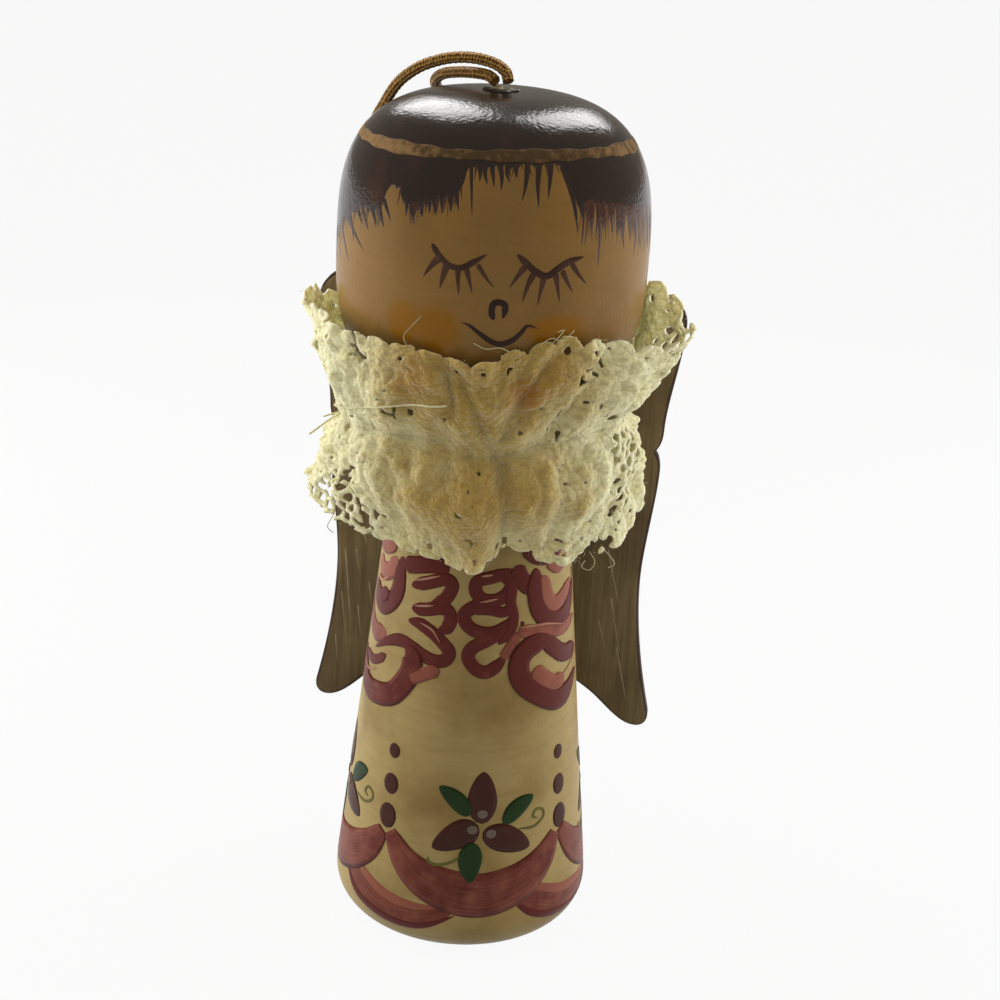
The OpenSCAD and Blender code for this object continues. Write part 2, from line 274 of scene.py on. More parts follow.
def make_piece(name, pile, material, body="doll", closed=True):
    """Puts a pile into a mesh: a closed one is turned so that its faces point outwards, which its
    signed volume, the sum of the corner products over all faces, tells."""
    points = np.concatenate(pile.points)
    quads = np.concatenate(pile.quads)
    if closed:
        a, b, c, d = (points[quads[:, k]] for k in range(4))
        volume = np.einsum("ij,ij->i", a, np.cross(b, c)) + np.einsum("ij,ij->i", a, np.cross(c, d))
        if volume.sum() < 0:
            quads = quads[:, ::-1]
            pile.caps = [cap[::-1] for cap in pile.caps]
    corners = np.concatenate([quads.ravel()] + pile.caps).astype(np.int32)
    totals = np.array([4] * len(quads) + [len(cap) for cap in pile.caps], np.int32)
    starts = np.concatenate([[0], np.cumsum(totals)[:-1]]).astype(np.int32)
    mesh = bpy.data.meshes.new(name)
    mesh.vertices.add(len(points))
    mesh.vertices.foreach_set("co", (points * MM).astype(np.float32).ravel())
    mesh.loops.add(len(corners))
    mesh.loops.foreach_set("vertex_index", corners)
    mesh.polygons.add(len(totals))
    mesh.polygons.foreach_set("loop_start", starts)
    mesh.polygons.foreach_set("use_smooth", np.ones(len(totals), bool))
    mesh.update(calc_edges=True)
    mesh.validate()
    flat = np.concatenate(pile.flat)
    mesh.uv_layers.new(name="flat").data.foreach_set("uv", flat[corners].astype(np.float32).ravel())
    marks = np.concatenate(pile.marks).astype(np.float32)
    mesh.attributes.new("mark", "FLOAT", "POINT").data.foreach_set("value", marks)
    mesh.materials.append(material)
    piece = bpy.data.objects.new(name, mesh)
    bpy.context.scene.collection.objects.link(piece)
    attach(piece, body)
    return piece


def smooth(u):
    """0 up to 0, 1 from 1 on, and an even curve between."""
    c = np.clip(u, 0, 1)
    return c * c * (3 - 2 * c)


def spline(points, count):
    """A smooth curve through the points: on each stretch the cubic whose slope at a point is half
    the step between its neighbours, sampled at count even steps."""
    p = np.asarray(points, float)
    p = np.concatenate([[2 * p[0] - p[1]], p, [2 * p[-1] - p[-2]]])
    t = np.linspace(0, len(p) - 3, count)
    i = np.minimum(t.astype(int), len(p) - 4)
    u = (t - i)[:, None]
    a, b, c, d = p[i], p[i + 1], p[i + 2], p[i + 3]
    terms = (2 * b, c - a, 2 * a - 5 * b + 4 * c - d, 3 * b - a - 3 * c + d)
    return 0.5 * sum(term * u ** power for power, term in enumerate(terms))


def distances(path):
    """Distance of each point of the path from its start, along it."""
    return np.concatenate([[0], np.cumsum(np.linalg.norm(np.diff(path, axis=0), axis=1))])


def even(path, count):
    """The path with count points at even distances along it."""
    far = distances(path)
    want = np.linspace(0, far[-1], count)
    return np.stack([np.interp(want, far, path[:, k]) for k in range(path.shape[1])], axis=-1)


def unit(vectors):
    """The vectors, each with the length 1."""
    return vectors / np.linalg.norm(vectors, axis=-1, keepdims=True)


def around(r, a, z):
    """Points at radius r and height z, at a degrees round the axis from the front."""
    return np.stack(np.broadcast_arrays(r * np.sin(a * DEG), -r * np.cos(a * DEG), z), axis=-1)


def add_tube(pile, path, radius, sides, twist=None, ridge=0.0, strands=1):
    """A tube round the path. Its sides lie in the plane across the path, measured from the normal of
    the plane that fits the path best. With a twist, the radius swells by ridge on each of the strands,
    which go once round in the twist's length."""
    heading = unit(np.gradient(path, axis=0))
    level = np.linalg.svd(path - path.mean(0))[2][2]
    across = unit(np.cross(heading, level))
    over = np.cross(across, heading)
    far = distances(path)[:, None]
    turn = np.linspace(0, 2 * math.pi, sides, endpoint=False)[None, :]
    size = np.full((len(path), sides), radius)
    if twist:
        lay = turn - 2 * math.pi * far / twist
        size *= 1 - ridge + ridge * np.abs(np.cos(strands / 2 * lay))
    out = np.cos(turn)[..., None] * across[:, None] + np.sin(turn)[..., None] * over[:, None]
    flat = np.stack(np.broadcast_arrays(far, turn / (2 * math.pi)), axis=-1)
    pile.add_skin(path[:, None] + size[..., None] * out, flat)


# Radius of the small face that closes a turned profile at its pole
POLE = 0.05
# Points round the turned pieces
SKIRT_COLUMNS = 256
HEAD_COLUMNS = 320


def add_turned(pile, radii, heights, columns, shift=None, mark=None):
    """A profile turned once round the axis, from a pole at its first height to one at its last."""
    a = np.linspace(0, 360, columns, endpoint=False)[None, :]
    z = np.asarray(heights)[:, None]
    points = around(np.asarray(radii)[:, None], a, z)
    if shift:
        points = shift(points)
    flat = np.stack(np.broadcast_arrays(a / 360, z / CROWN_Z), axis=-1)
    pile.add_skin(points, flat, mark(a, z) if mark else 0.0)


# The turned forms


def skirt_radius(z):
    """Radius of the skirt at height z: a quarter round at the foot, then a straight side to the neck."""
    s = Settings("doll_skirt")
    lean = math.atan((SKIRT_RAD - s.neck_radius) / (SKIRT_H - s.foot_round))
    side_r = SKIRT_RAD - s.foot_round * (1 - math.cos(lean))
    side_z = s.foot_round * (1 + math.sin(lean))
    straight = side_r + (s.neck_radius - side_r) * (z - side_z) / (SKIRT_H - side_z)
    low = np.clip(s.foot_round - z, -s.foot_round, s.foot_round)
    foot = SKIRT_RAD - s.foot_round + np.sqrt(np.maximum(s.foot_round ** 2 - low ** 2, 0))
    return np.where(z < side_z, foot, straight)


def head_radius(z):
    """Radius of the head at height z: one full curve above the widest place and one below it."""
    s = Settings("doll_head")
    wide = SEAT_Z + s.wide_height
    high = CROWN_Z - wide
    jaw = s.wide_height / (1 - (s.flat_radius / HEAD_RAD) ** s.jaw_fullness) ** (1 / s.jaw_fullness)
    above = np.clip((z - wide) / high, 0, 1)
    below = np.clip((wide - z) / jaw, 0, 1)
    crown = (1 - above ** s.crown_fullness) ** (1 / s.crown_fullness)
    return HEAD_RAD * np.where(z > wide, crown, (1 - below ** s.jaw_fullness) ** (1 / s.jaw_fullness))


def front_turn(a):
    """Angles from -180 to 180, with 0 at the front."""
    return (a + 180) % 360 - 180


class Turned:
    """A chart of a turned surface, in degrees from the front and in heights."""
    slope_step = 0.05
    least_radius = 0.5

    def __init__(self, radius):
        self.radius = radius

    def slope(self, z):
        return (self.radius(z + self.slope_step) - self.radius(z - self.slope_step)) / (2 * self.slope_step)

    def scale(self, a, z):
        """Millimetres to a degree round the axis, and to a millimetre of height."""
        return np.maximum(self.radius(z), self.least_radius) * DEG, np.sqrt(1 + self.slope(z) ** 2)

    def lay(self, a, z, lift):
        """Points at the given lift above the surface, along its normal."""
        slope = self.slope(z)
        normal = 1 / np.sqrt(1 + slope ** 2)
        r = self.radius(z) + lift * normal
        return around(r, a, z - lift * slope * normal)


class WingFace:
    """A chart of the panel's front, in millimetres across and in heights."""

    def scale(self, x, z):
        return np.ones_like(x), np.ones_like(z)

    def lay(self, x, z, lift):
        return turned_wings(np.stack([x, Settings("doll_wings").front - lift + 0 * x, z], axis=-1))


def turned_wings(points):
    """Turns points about the axis by the wings' turn, the doll's left wing forward."""
    turn = Settings("doll_wings").turn * DEG
    x = points[..., 0] * math.cos(turn) + points[..., 1] * math.sin(turn)
    y = points[..., 1] * math.cos(turn) - points[..., 0] * math.sin(turn)
    return np.stack([x, y, points[..., 2]], axis=-1)


# Brush strokes

STROKE_SHAPES = {
    "brush": lambda t: np.minimum(1, t / 0.1) ** 0.5 * np.minimum(1, (1 - t) / 0.16) ** 0.6,
    "flick": lambda t: np.minimum(1, t / 0.06) ** 0.5 * (1 - t) ** 0.7,
    "leaf": lambda t: np.sin(math.pi * t) ** 0.75,
    "leaflet": lambda t: np.sin(math.pi * t ** 0.9) ** 0.58,
    "petal": lambda t: np.sin(math.pi * t ** 0.85) ** 0.58,
    "oval": lambda t: np.sqrt(np.maximum(1 - (2 * t - 1) ** 2, 0)),
    "swag": lambda t: 0.3 + 0.7 * np.sin(math.pi * t) ** 0.8,
    "crescent": lambda t: np.sin(math.pi * t) ** 0.6,
}
# Section of a stroke, across from -1 to 1: a dome on top, and a flat underside below the surface
DOME = np.linspace(-1, 1, 7)
SECTION = np.concatenate([DOME, [0.9, 0, -0.9]])
ON_TOP = np.arange(len(SECTION)) < len(DOME)
PAINT_DOME = 0.018
PAINT_SUNK = 0.12
# Half width below which a stroke gets flatter, and the least share of its width at its ends
THIN_STROKE = 0.15
LEAST_SHARE = 0.03
TINY = 1e-9


def add_stroke(pile, chart, points, half_width, shape="brush", lift=0.0, samples=32, mark=0.0):
    """A dab of paint on a chart: a flat dome carried along a smooth path, as wide at each share of
    the way as its shape says, with its underside sunk below the surface."""
    path = spline(points, samples)
    scale = np.stack(chart.scale(path[:, 0], path[:, 1]), axis=-1)
    step = np.gradient(path, axis=0) * scale
    heading = step / np.maximum(np.linalg.norm(step, axis=1), TINY)[:, None]
    side = np.stack([-heading[:, 1], heading[:, 0]], axis=-1) / scale
    share = np.maximum(STROKE_SHAPES[shape](np.linspace(0, 1, samples)), LEAST_SHARE)[:, None]
    spot = path[:, None] + side[:, None] * (half_width * share * SECTION)[..., None]
    rise = np.where(ON_TOP, PAINT_DOME * (1 - SECTION ** 4), -PAINT_SUNK)
    body = lift * ON_TOP + rise * np.minimum(1, share * half_width / THIN_STROKE)
    far = np.cumsum(np.linalg.norm(step, axis=1))[:, None]
    flat = np.stack(np.broadcast_arrays(far, SECTION * half_width), axis=-1)
    pile.add_skin(chart.lay(spot[..., 0], spot[..., 1], body), flat, mark)


# Materials

# Share of the usual mirror light that matt paints and fabrics keep
MATT = 0.16
# Depth of the brush lines in the ground paint
BRUSH_DEPTH = 0.035


def toned(tone, share):
    """A colour at the given share, or multiple, of its brightness."""
    return tuple(share * c for c in tone)


class Nodes:
    """Adds shader nodes to a tree. What goes into a node is a value or the output of another node."""

    def __init__(self, tree):
        self.tree = tree

    def feed(self, socket, value):
        if isinstance(value, bpy.types.NodeSocket):
            self.tree.links.new(value, socket)
        else:
            socket.default_value = value

    def add(self, kind, inputs=None, **settings):
        made = self.tree.nodes.new(kind)
        for key, value in settings.items():
            setattr(made, key, value)
        for key, value in (inputs or {}).items():
            self.feed(made.inputs[key], value)
        return made

    def math(self, operation, first, second=0.0):
        return self.add("ShaderNodeMath", {0: first, 1: second}, operation=operation).outputs[0]

    def plus(self, first, second):
        return self.math("ADD", first, second)

    def minus(self, first, second):
        return self.math("SUBTRACT", first, second)

    def times(self, first, second):
        return self.math("MULTIPLY", first, second)

    def mix(self, factor, first, second):
        """The first colour where the factor is 0 and the second where it is 1."""
        return self.add("ShaderNodeMix", {0: factor, 6: first, 7: second}, data_type="RGBA").outputs[2]

    def fade(self, value, low, high):
        """0 where the value is at or below low, 1 where it is at or above high, and smooth between."""
        ends = {"Value": value, "From Min": low, "From Max": high}
        return self.add("ShaderNodeMapRange", ends, interpolation_type="SMOOTHSTEP").outputs["Result"]

    def seen_rays(self, *kinds):
        """1 for the rays that the camera sees directly and for those of the given kinds."""
        rays = self.add("ShaderNodeLightPath").outputs
        seen = rays["Is Camera Ray"]
        for kind in kinds:
            seen = self.math("MAXIMUM", seen, rays[kind])
        return seen


class Finish(Nodes):
    """A material with one Principled shader, patterned on Object coordinates or on its piece's flat map."""

    def __init__(self, name, roughness, **sockets):
        self.material = bpy.data.materials.new(name)
        self.material.use_nodes = True
        super().__init__(self.material.node_tree)
        self.shader = self.tree.nodes["Principled BSDF"]
        for key, value in {"Roughness": roughness, "Specular IOR Level": MATT, **sockets}.items():
            self.shader.inputs[key].default_value = value

    def where(self):
        return self.add("ShaderNodeTexCoord").outputs["Object"]

    def flat(self):
        return self.add("ShaderNodeUVMap", uv_map="flat").outputs["UV"]

    def mark(self):
        return self.add("ShaderNodeAttribute", attribute_name="mark").outputs["Fac"]

    def scaled(self, place, scale, turn=(0, 0, 0)):
        return self.add("ShaderNodeMapping", {"Vector": place, "Scale": scale, "Rotation": turn}).outputs[0]

    def clouds(self, place, detail):
        inputs = {"Vector": place, "Scale": 1.0, "Detail": detail}
        return self.add("ShaderNodeTexNoise", inputs).outputs["Fac"]

    def noise(self, size, detail=3.0, stretch=(1, 1, 1)):
        """Noise with features of the given size in millimetres, finer along each axis by its stretch."""
        return self.clouds(self.scaled(self.where(), [s / (size * MM) for s in stretch]), detail)

    def flat_noise(self, along, across, detail=3.0):
        """Noise on the flat map, with features of the given sizes along and across the piece."""
        return self.clouds(self.scaled(self.flat(), (1 / along, 1 / across, 1)), detail)

    def coat(self, base, height, depth):
        """Gives the shader its colour, and raises it by the height, of the given depth in millimetres."""
        self.feed(self.shader.inputs["Base Color"], base)
        raised = self.add("ShaderNodeBump", {"Height": height, "Distance": depth * MM, "Strength": 1.0})
        self.feed(self.shader.inputs["Normal"], raised.outputs["Normal"])
        return self.material


def ground_paint(name, main, worn, roughness):
    """Brushed matt paint on wood: broad yellowed patches, fine brush lines round the axis, small specks.
    Gives the finish, its colour and the height of its brush lines."""
    f = Finish(name, roughness)
    patches = f.fade(f.noise(9, 4), 0.42, 0.72)
    brush = f.noise(1.6, 5, (0.35, 0.35, 3))
    lines = f.times(f.fade(brush, 0.4, 0.75), 0.28)
    specks = f.times(f.fade(f.noise(0.5, 2), 0.68, 0.76), 0.3)
    base = f.mix(lines, f.mix(patches, main, worn), worn)
    return f, f.mix(specks, base, toned(worn, 0.5)), f.plus(brush, f.noise(0.35, 2))


def skirt_finish():
    """Cream ground paint."""
    paint = Settings("doll_paint")
    f, base, height = ground_paint("cream_paint", paint.skirt, paint.skirt_worn, 0.42)
    return f.coat(base, height, BRUSH_DEPTH)


def face_finish():
    """Skin paint with the orange of the cheeks where the head's mark says."""
    paint = Settings("doll_paint")
    f, base, height = ground_paint("face_paint", paint.skin, toned(paint.skin, 0.78), 0.3)
    uneven = f.plus(f.mark(), f.times(f.noise(1.4, 4), 0.4))
    cheek = f.times(f.fade(uneven, 0.3, 1.1), 0.95)
    return f.coat(f.mix(cheek, base, paint.cheek), height, BRUSH_DEPTH)


def stroke_finish(name, dark, light, roughness):
    """Brush paint between two tones: the stroke's mark sets the tone, and bristle lines along it vary it."""
    f = Finish(name, roughness)
    bristles = f.flat_noise(5.0, 0.22)
    lines = f.times(f.minus(bristles, 0.5), 0.6)
    blotches = f.times(f.minus(f.noise(1.8), 0.5), 0.7)
    tone = f.plus(f.plus(f.mark(), lines), blotches)
    return f.coat(f.mix(f.fade(tone, 0.15, 0.85), dark, light), bristles, 0.03)


def hair_finish():
    """Glossy brown-black paint with the small dimples of thick varnish and reddish thin places."""
    paint = Settings("doll_paint")
    f = Finish("hair_paint", 0.17, **{"Specular IOR Level": 0.6})
    thin = f.times(f.fade(f.noise(4, 4), 0.55, 0.75), 0.5)
    tone = f.math("MAXIMUM", thin, f.mark())
    dimples = f.plus(f.noise(0.9, 2), f.noise(0.35, 2))
    return f.coat(f.mix(tone, paint.hair, paint.hair_dry), dimples, 0.035)


def halo_finish():
    """Worn gold paint: flecks of gold on brown, darker where the mark says."""
    paint = Settings("doll_paint")
    f = Finish("halo_gold", 0.75)
    flecks = f.fade(f.noise(0.8, 6), 0.2, 0.75)
    gold = f.fade(f.minus(flecks, f.mark()), -0.3, 0.7)
    return f.coat(f.mix(gold, toned(paint.halo, 0.32), paint.halo), flecks, 0.03)


def wing_finish():
    """Thin dark paint on wood: grain up the panel shows through, and the edges are darker."""
    paint = Settings("doll_paint")
    f = Finish("wing_paint", 0.5)
    grain = f.noise(1.5, 5, (3, 1, 0.15))
    patches = f.fade(f.noise(7, 4), 0.35, 0.7)
    base = f.mix(f.fade(grain, 0.35, 0.7), paint.wing, toned(paint.wing, 0.72))
    base = f.mix(f.times(patches, 0.35), base, paint.wing_edge)
    rim = f.fade(f.plus(f.mark(), f.times(patches, 0.2)), 0.3, 0.75)
    return f.coat(f.mix(rim, base, paint.wing_edge), grain, 0.05)


# Size of the crocheted knots on the flat strip, and how far in front the lace starts and ends to be browner
KNOT_ALONG, KNOT_ACROSS = 0.58, 0.48
# The lace turns browner and darker towards the front: partly yellowing, partly painted shade
AGED_AND_SHADED_FROM, AGED_AND_SHADED_TO = -9.5, -16.5


def lace_finish():
    """Cream cotton: crocheted knots and fine thread lines on the flat strip, with painted shade in the pits
    between the knots and along the thread lines, browner and darker in front, partly yellowing and partly
    painted shade, with glue stains where the mark says."""
    paint = Settings("doll_paint")
    f = Finish("cotton_lace", 0.85, **{
        "Sheen Weight": 0.6, "Sheen Tint": (1, 0.95, 0.72, 1), "Subsurface Weight": 0.6,
        "Subsurface Radius": (1, 0.95, 0.8), "Subsurface Scale": 1.0 * MM})
    place = f.scaled(f.flat(), (1 / KNOT_ALONG, 1 / KNOT_ACROSS, 1))
    knots = f.add("ShaderNodeTexVoronoi", {"Vector": place, "Scale": 1.0, "Smoothness": 0.3},
                  feature="SMOOTH_F1").outputs["Distance"]
    fluff = f.flat_noise(0.3, 0.3, 6)
    threads = f.plus(f.flat_noise(0.12, 0.7, 2), f.flat_noise(0.7, 0.12, 2))
    # Browner and darker towards the front: partly yellowing, partly painted shade
    depth = f.add("ShaderNodeSeparateXYZ", {0: f.where()}).outputs["Y"]
    front = f.fade(depth, AGED_AND_SHADED_FROM * MM, AGED_AND_SHADED_TO * MM)
    patchy = f.plus(front, f.times(f.noise(4, 4), 0.9))
    base = f.mix(f.fade(patchy, 0.45, 1.5), paint.lace, paint.lace_aged)
    # Painted shade: darker in the pits between the knots and, below, in the grooves between the thread lines
    pits = f.times(f.fade(f.minus(knots, fluff), -0.05, 0.3), 0.3)
    base = f.mix(pits, base, toned(paint.lace_aged, 0.5))
    shade = f.times(f.fade(threads, 1.1, 0.7), 0.14)
    base = f.mix(shade, base, toned(paint.lace_aged, 0.7))
    soaked = f.plus(f.mark(), f.times(f.noise(2.2, 4), 0.4))
    base = f.mix(f.times(f.fade(soaked, 0.3, 1.35), 0.9), base, paint.stain)
    height = f.minus(f.plus(f.times(threads, 0.3), fluff), knots)
    return f.coat(base, height, 0.42)


def thread_finish():
    """Twisted cotton thread: slanted ply lines along its own flat map, with painted shade in the grooves
    between the plies.
    """
    paint = Settings("doll_paint")
    f = Finish("cotton_thread", 0.8, **{"Sheen Weight": 0.3})
    place = f.scaled(f.flat(), (2, 2, 1), (0, 0, 0.5))
    ply = f.add("ShaderNodeTexWave", {"Vector": place, "Scale": 1.0, "Distortion": 1.0}).outputs["Fac"]
    # Painted shade: the darker tone lies in the low grooves of the ply lines
    return f.coat(f.mix(f.fade(ply, 0.1, 0.6), toned(paint.lace, 0.6), paint.lace), ply, 0.06)


# Length of one crossing of the cord's braid, and the strands that run each way round
BRAID_STEP = 0.6
BRAID_STRANDS = 4
# How far the strands stand out, as a share of the cord's radius
BRAID_RIDGE = 0.14


def cord_finish():
    """Metallic craft cord: a braid of foil strands as the product of two waves that run round the cord in
    opposite ways, with painted shade, nearly black, between the strands and a random painted sparkle."""
    paint = Settings("doll_paint")
    f = Finish("gold_cord", 0.34, Metallic=0.6)
    parts = f.add("ShaderNodeSeparateXYZ", {0: f.flat()}).outputs
    wander = f.times(f.flat_noise(0.8, 0.4), 6.0)
    along = f.plus(f.times(parts["X"], 2 * math.pi / BRAID_STEP), wander)
    turned = f.times(parts["Y"], 2 * math.pi * BRAID_STRANDS)
    first = f.math("SINE", f.plus(along, turned))
    second = f.math("SINE", f.minus(along, turned))
    sparkle = f.times(f.flat_noise(0.3, 0.12), 2.4)
    braid = f.plus(f.times(first, second), sparkle)
    # Painted shade: the dark tone between the strands, the full gold on their tops and in the sparkle
    return f.coat(f.mix(f.fade(braid, 0.2, 2.0), toned(paint.cord, 0.1), paint.cord), braid, 0.07)


def glue_finish():
    """Dried craft glue: cloudy, with a soft gloss and small lumps, and dark like the hair where thin."""
    paint = Settings("doll_paint")
    f = Finish("dried_glue", 0.35)
    cloud = f.noise(0.8)
    base = f.mix(f.fade(cloud, 0.35, 0.7), paint.glue, toned(paint.glue, 0.6))
    thin = f.fade(f.plus(f.mark(), f.times(cloud, 0.4)), 0.7, 1.0)
    return f.coat(f.mix(thin, base, paint.hair), cloud, 0.12)


def wood_finish():
    """Bare wood: grain lines along the dowel."""
    paint = Settings("doll_paint")
    f = Finish("bare_wood", 0.65)
    grain = f.noise(0.6, 5, (1, 1, 0.1))
    return f.coat(f.mix(f.fade(grain, 0.35, 0.7), paint.wood, toned(paint.wood, 0.65)), grain, 0.05)


def dress_node(name, material):
    """Puts a material on a CAD node that isn't replaced by a finer piece."""
    mesh = frame["nodes"][name].data
    mesh.materials.clear()
    mesh.materials.append(material)


# The cord: its route from the crown round to the crown, from the place where it bends

CORD_ROUTE = [
    (0.65, 0, 0), (0.3, 0.6, 0.9), (-1, 1.3, 1.6), (-3.2, 2, 1.9), (-5.6, 2.8, 1.6), (-8, 3.6, 0.7),
    (-9.7, 4.6, -0.5), (-10.9, 5.6, -1.8), (-12.1, 7, -3.9), (-13.2, 8.4, -6.3), (-13.6, 10.4, -9.5),
    (-12.8, 12.6, -13.1), (-10.6, 14.9, -16.7), (-7.6, 16.6, -19.3), (-4.4, 17.4, -20.3),
    (-1.6, 17.3, -19.1), (-0.6, 17.1, -16.1), (-1.4, 16.9, -12.5), (-3.2, 16.2, -9.1),
    (-5.2, 14.4, -5.7), (-6.6, 11.5, -3.1), (-7, 8.8, -1.6), (-6.2, 6.4, -0.5), (-4.6, 4.2, 0.1),
    (-2.8, 2.2, 0.4), (-1.4, 0.8, 0.4), (-0.65, 0, 0),
]


class DOLL_OT_cord(bpy.types.Operator):
    """Twisted gold cord that leaves the crown, hangs behind the head and comes back"""
    bl_idname = "doll.cord"
    bl_label = "Hanging cord"

    def execute(self, context):
        s = Settings("doll_cord")
        route = np.array(CORD_ROUTE) + (0, 0, BEND_Z)
        path = even(spline(route, 1200), 420)
        pile = Pile()
        add_tube(pile, path, s.diameter / 2, 24, s.lay, BRAID_RIDGE, BRAID_STRANDS)
        material = cord_finish()
        piece = make_piece("gold_cord_loop", pile, material, "loop")
        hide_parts("hanging_loop")
        far = float(distances(path)[-1])
        s.diameter * MM
        dress_node("cord_ends", material)
        return {"FINISHED"}


class DOLL_OT_glue(bpy.types.Operator):
    """Low uneven dab of glue round the cord at the crown"""
    bl_idname = "doll.glue"
    bl_label = "Dab of glue"

    def execute(self, context):
        s = Settings("doll_cord")
        a = np.linspace(0, 360, 72, endpoint=False)[None, :]
        t = np.concatenate([np.linspace(POLE, 1, 14), [1.0, POLE]])[:, None]
        under = np.arange(len(t))[:, None] >= len(t) - 2
        reach = s.glue_radius * t * (1 + 0.12 * np.sin(3 * a * DEG + 1) + 0.07 * np.sin(5 * a * DEG))
        dome = s.glue_height * np.sqrt(1 - t ** 2) * (1 + 0.15 * np.sin(2 * a * DEG + 0.5))
        pile = Pile()
        pile.add_skin(around(reach, a, CROWN_Z + np.where(under, -PAINT_SUNK, dome)), mark=t)
        piece = make_piece("glue_dab", pile, glue_finish())
        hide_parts("cord_glue")
        return {"FINISHED"}


# The skirt

# Height at which the rows of the straight side start, and of the step at the lower end of the seat
SIDE_FROM = 5
SEAT_STEP = 0.01


class DOLL_OT_skirt(bpy.types.Operator):
    """Turned skirt with its rounded foot, the hole for the dowel and the sanded seat of the wings"""
    bl_idname = "doll.skirt"
    bl_label = "Skirt"

    def execute(self, context):
        s = Settings("doll_skirt")
        wings = Settings("doll_wings")
        turn = wings.turn * DEG
        out = np.array([math.sin(turn), math.cos(turn), 0])

        def sanded(points):
            """Cuts what stands behind the wings' front plane, above the lower end of their seat."""
            past = np.maximum(points @ out - wings.front, 0) * (points[..., 2] >= s.seat_low)
            return points - past[..., None] * out

        foot = np.linspace(0, math.pi / 2, 16)
        foot_r = SKIRT_RAD - s.foot_round * (1 - np.sin(foot))
        foot_z = s.foot_round * (1 - np.cos(foot))
        side_z = np.concatenate([
            np.linspace(SIDE_FROM, s.seat_low - SEAT_STEP, 60),
            np.linspace(s.seat_low, SKIRT_H - s.neck_round, 90)])
        brow = np.linspace(0, math.pi / 2, 8)
        brow_r = s.neck_radius - s.neck_round * (1 - np.cos(brow))
        brow_z = SKIRT_H - s.neck_round * (1 - np.sin(brow))
        hole = s.dowel_hole
        floor = SKIRT_H - s.dowel_depth
        radii = np.concatenate([[POLE], foot_r, skirt_radius(side_z), brow_r, [hole, hole, POLE]])
        heights = np.concatenate([[0], foot_z, side_z, brow_z, [SKIRT_H, floor, floor]])
        pile = Pile()
        add_turned(pile, radii, heights, SKIRT_COLUMNS, sanded)
        piece = make_piece("skirt_turned", pile, skirt_finish())
        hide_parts("skirt")
        return {"FINISHED"}


# Painted pattern of the skirt: it repeats four times round the foot, about this angle
PATTERN_AT = 9.5
REPEATS = 4
PATTERN_TURN = 360 / REPEATS

# Points are degrees from the middle of the repeat and heights
SWAG = [(-45, 13.6), (-34, 10.6), (-20, 8.8), (-0.5, 7.9), (18, 8.8), (32, 10.8), (41, 13.4)]
SWAG_HALF = 2.6
SWAG_TONE = 0.45
SWAG_LIFT = 0.04
# Strokes of the swag under it: tone, half width and points
UNDER_SWAGS = [
    (0.45, 1.85, [(-31, 8.5), (-18, 6.4), (0, 5), (17, 4.9), (34, 6)]),
    (0.8, 0.6, [(-26, 9.2), (-14, 7.6), (0, 6.3), (14, 5.9), (28, 6.3)]),
    (0.05, 0.5, [(-31, 7.6), (-19, 4.9), (0, 3.5), (18, 3.6), (35, 5.5)]),
]
# Dots between the repeats: height, half width and half height
DOTS = [(22.5, 0.75, 0.85), (18.7, 1.0, 1.2), (15, 1.15, 1.45)]
# Petals and leaves: points and half width
PETALS = [
    ([(0.5, 16.2), (0.3, 19), (0.5, 22.1)], 1.6),
    ([(-1, 15.9), (-10, 14.9), (-22.5, 13.1)], 1.6),
    ([(1, 15.2), (12, 14.3), (25, 12.9)], 1.6),
]
LEAVES = [
    ([(-6, 17.1), (-12, 18.8), (-21, 20.2)], 1.0),
    ([(11, 16), (18, 17.6), (27, 18.7)], 1.05),
    ([(-3, 14), (-4.5, 12), (-4, 9.4)], 1.3),
]
# Tendrils: points, and half width
TENDRILS = [
    [(19, 15.2), (27, 15), (33, 15.7), (33, 16.6), (29, 16.9), (27, 16.2), (30, 15.8)],
    [(-9, 12.4), (-14, 11.6), (-20, 11.2), (-24, 11.5), (-23.5, 12)],
]
TENDRIL_HALF = 0.16
# Spots on the petals: the middle of each, their half length in degrees and their half width
PETAL_SPOTS = [(0.5, 17.2), (-4, 15.4), (5, 14.9)]
SPOT_LONG = 2.4
SPOT_HALF = 0.5
# How far the flower and the dots of the repeat at the doll's right hand are moved, in degrees and in height
ASIDE = (-2.4, 0.25)
ASIDE_TURN = 3

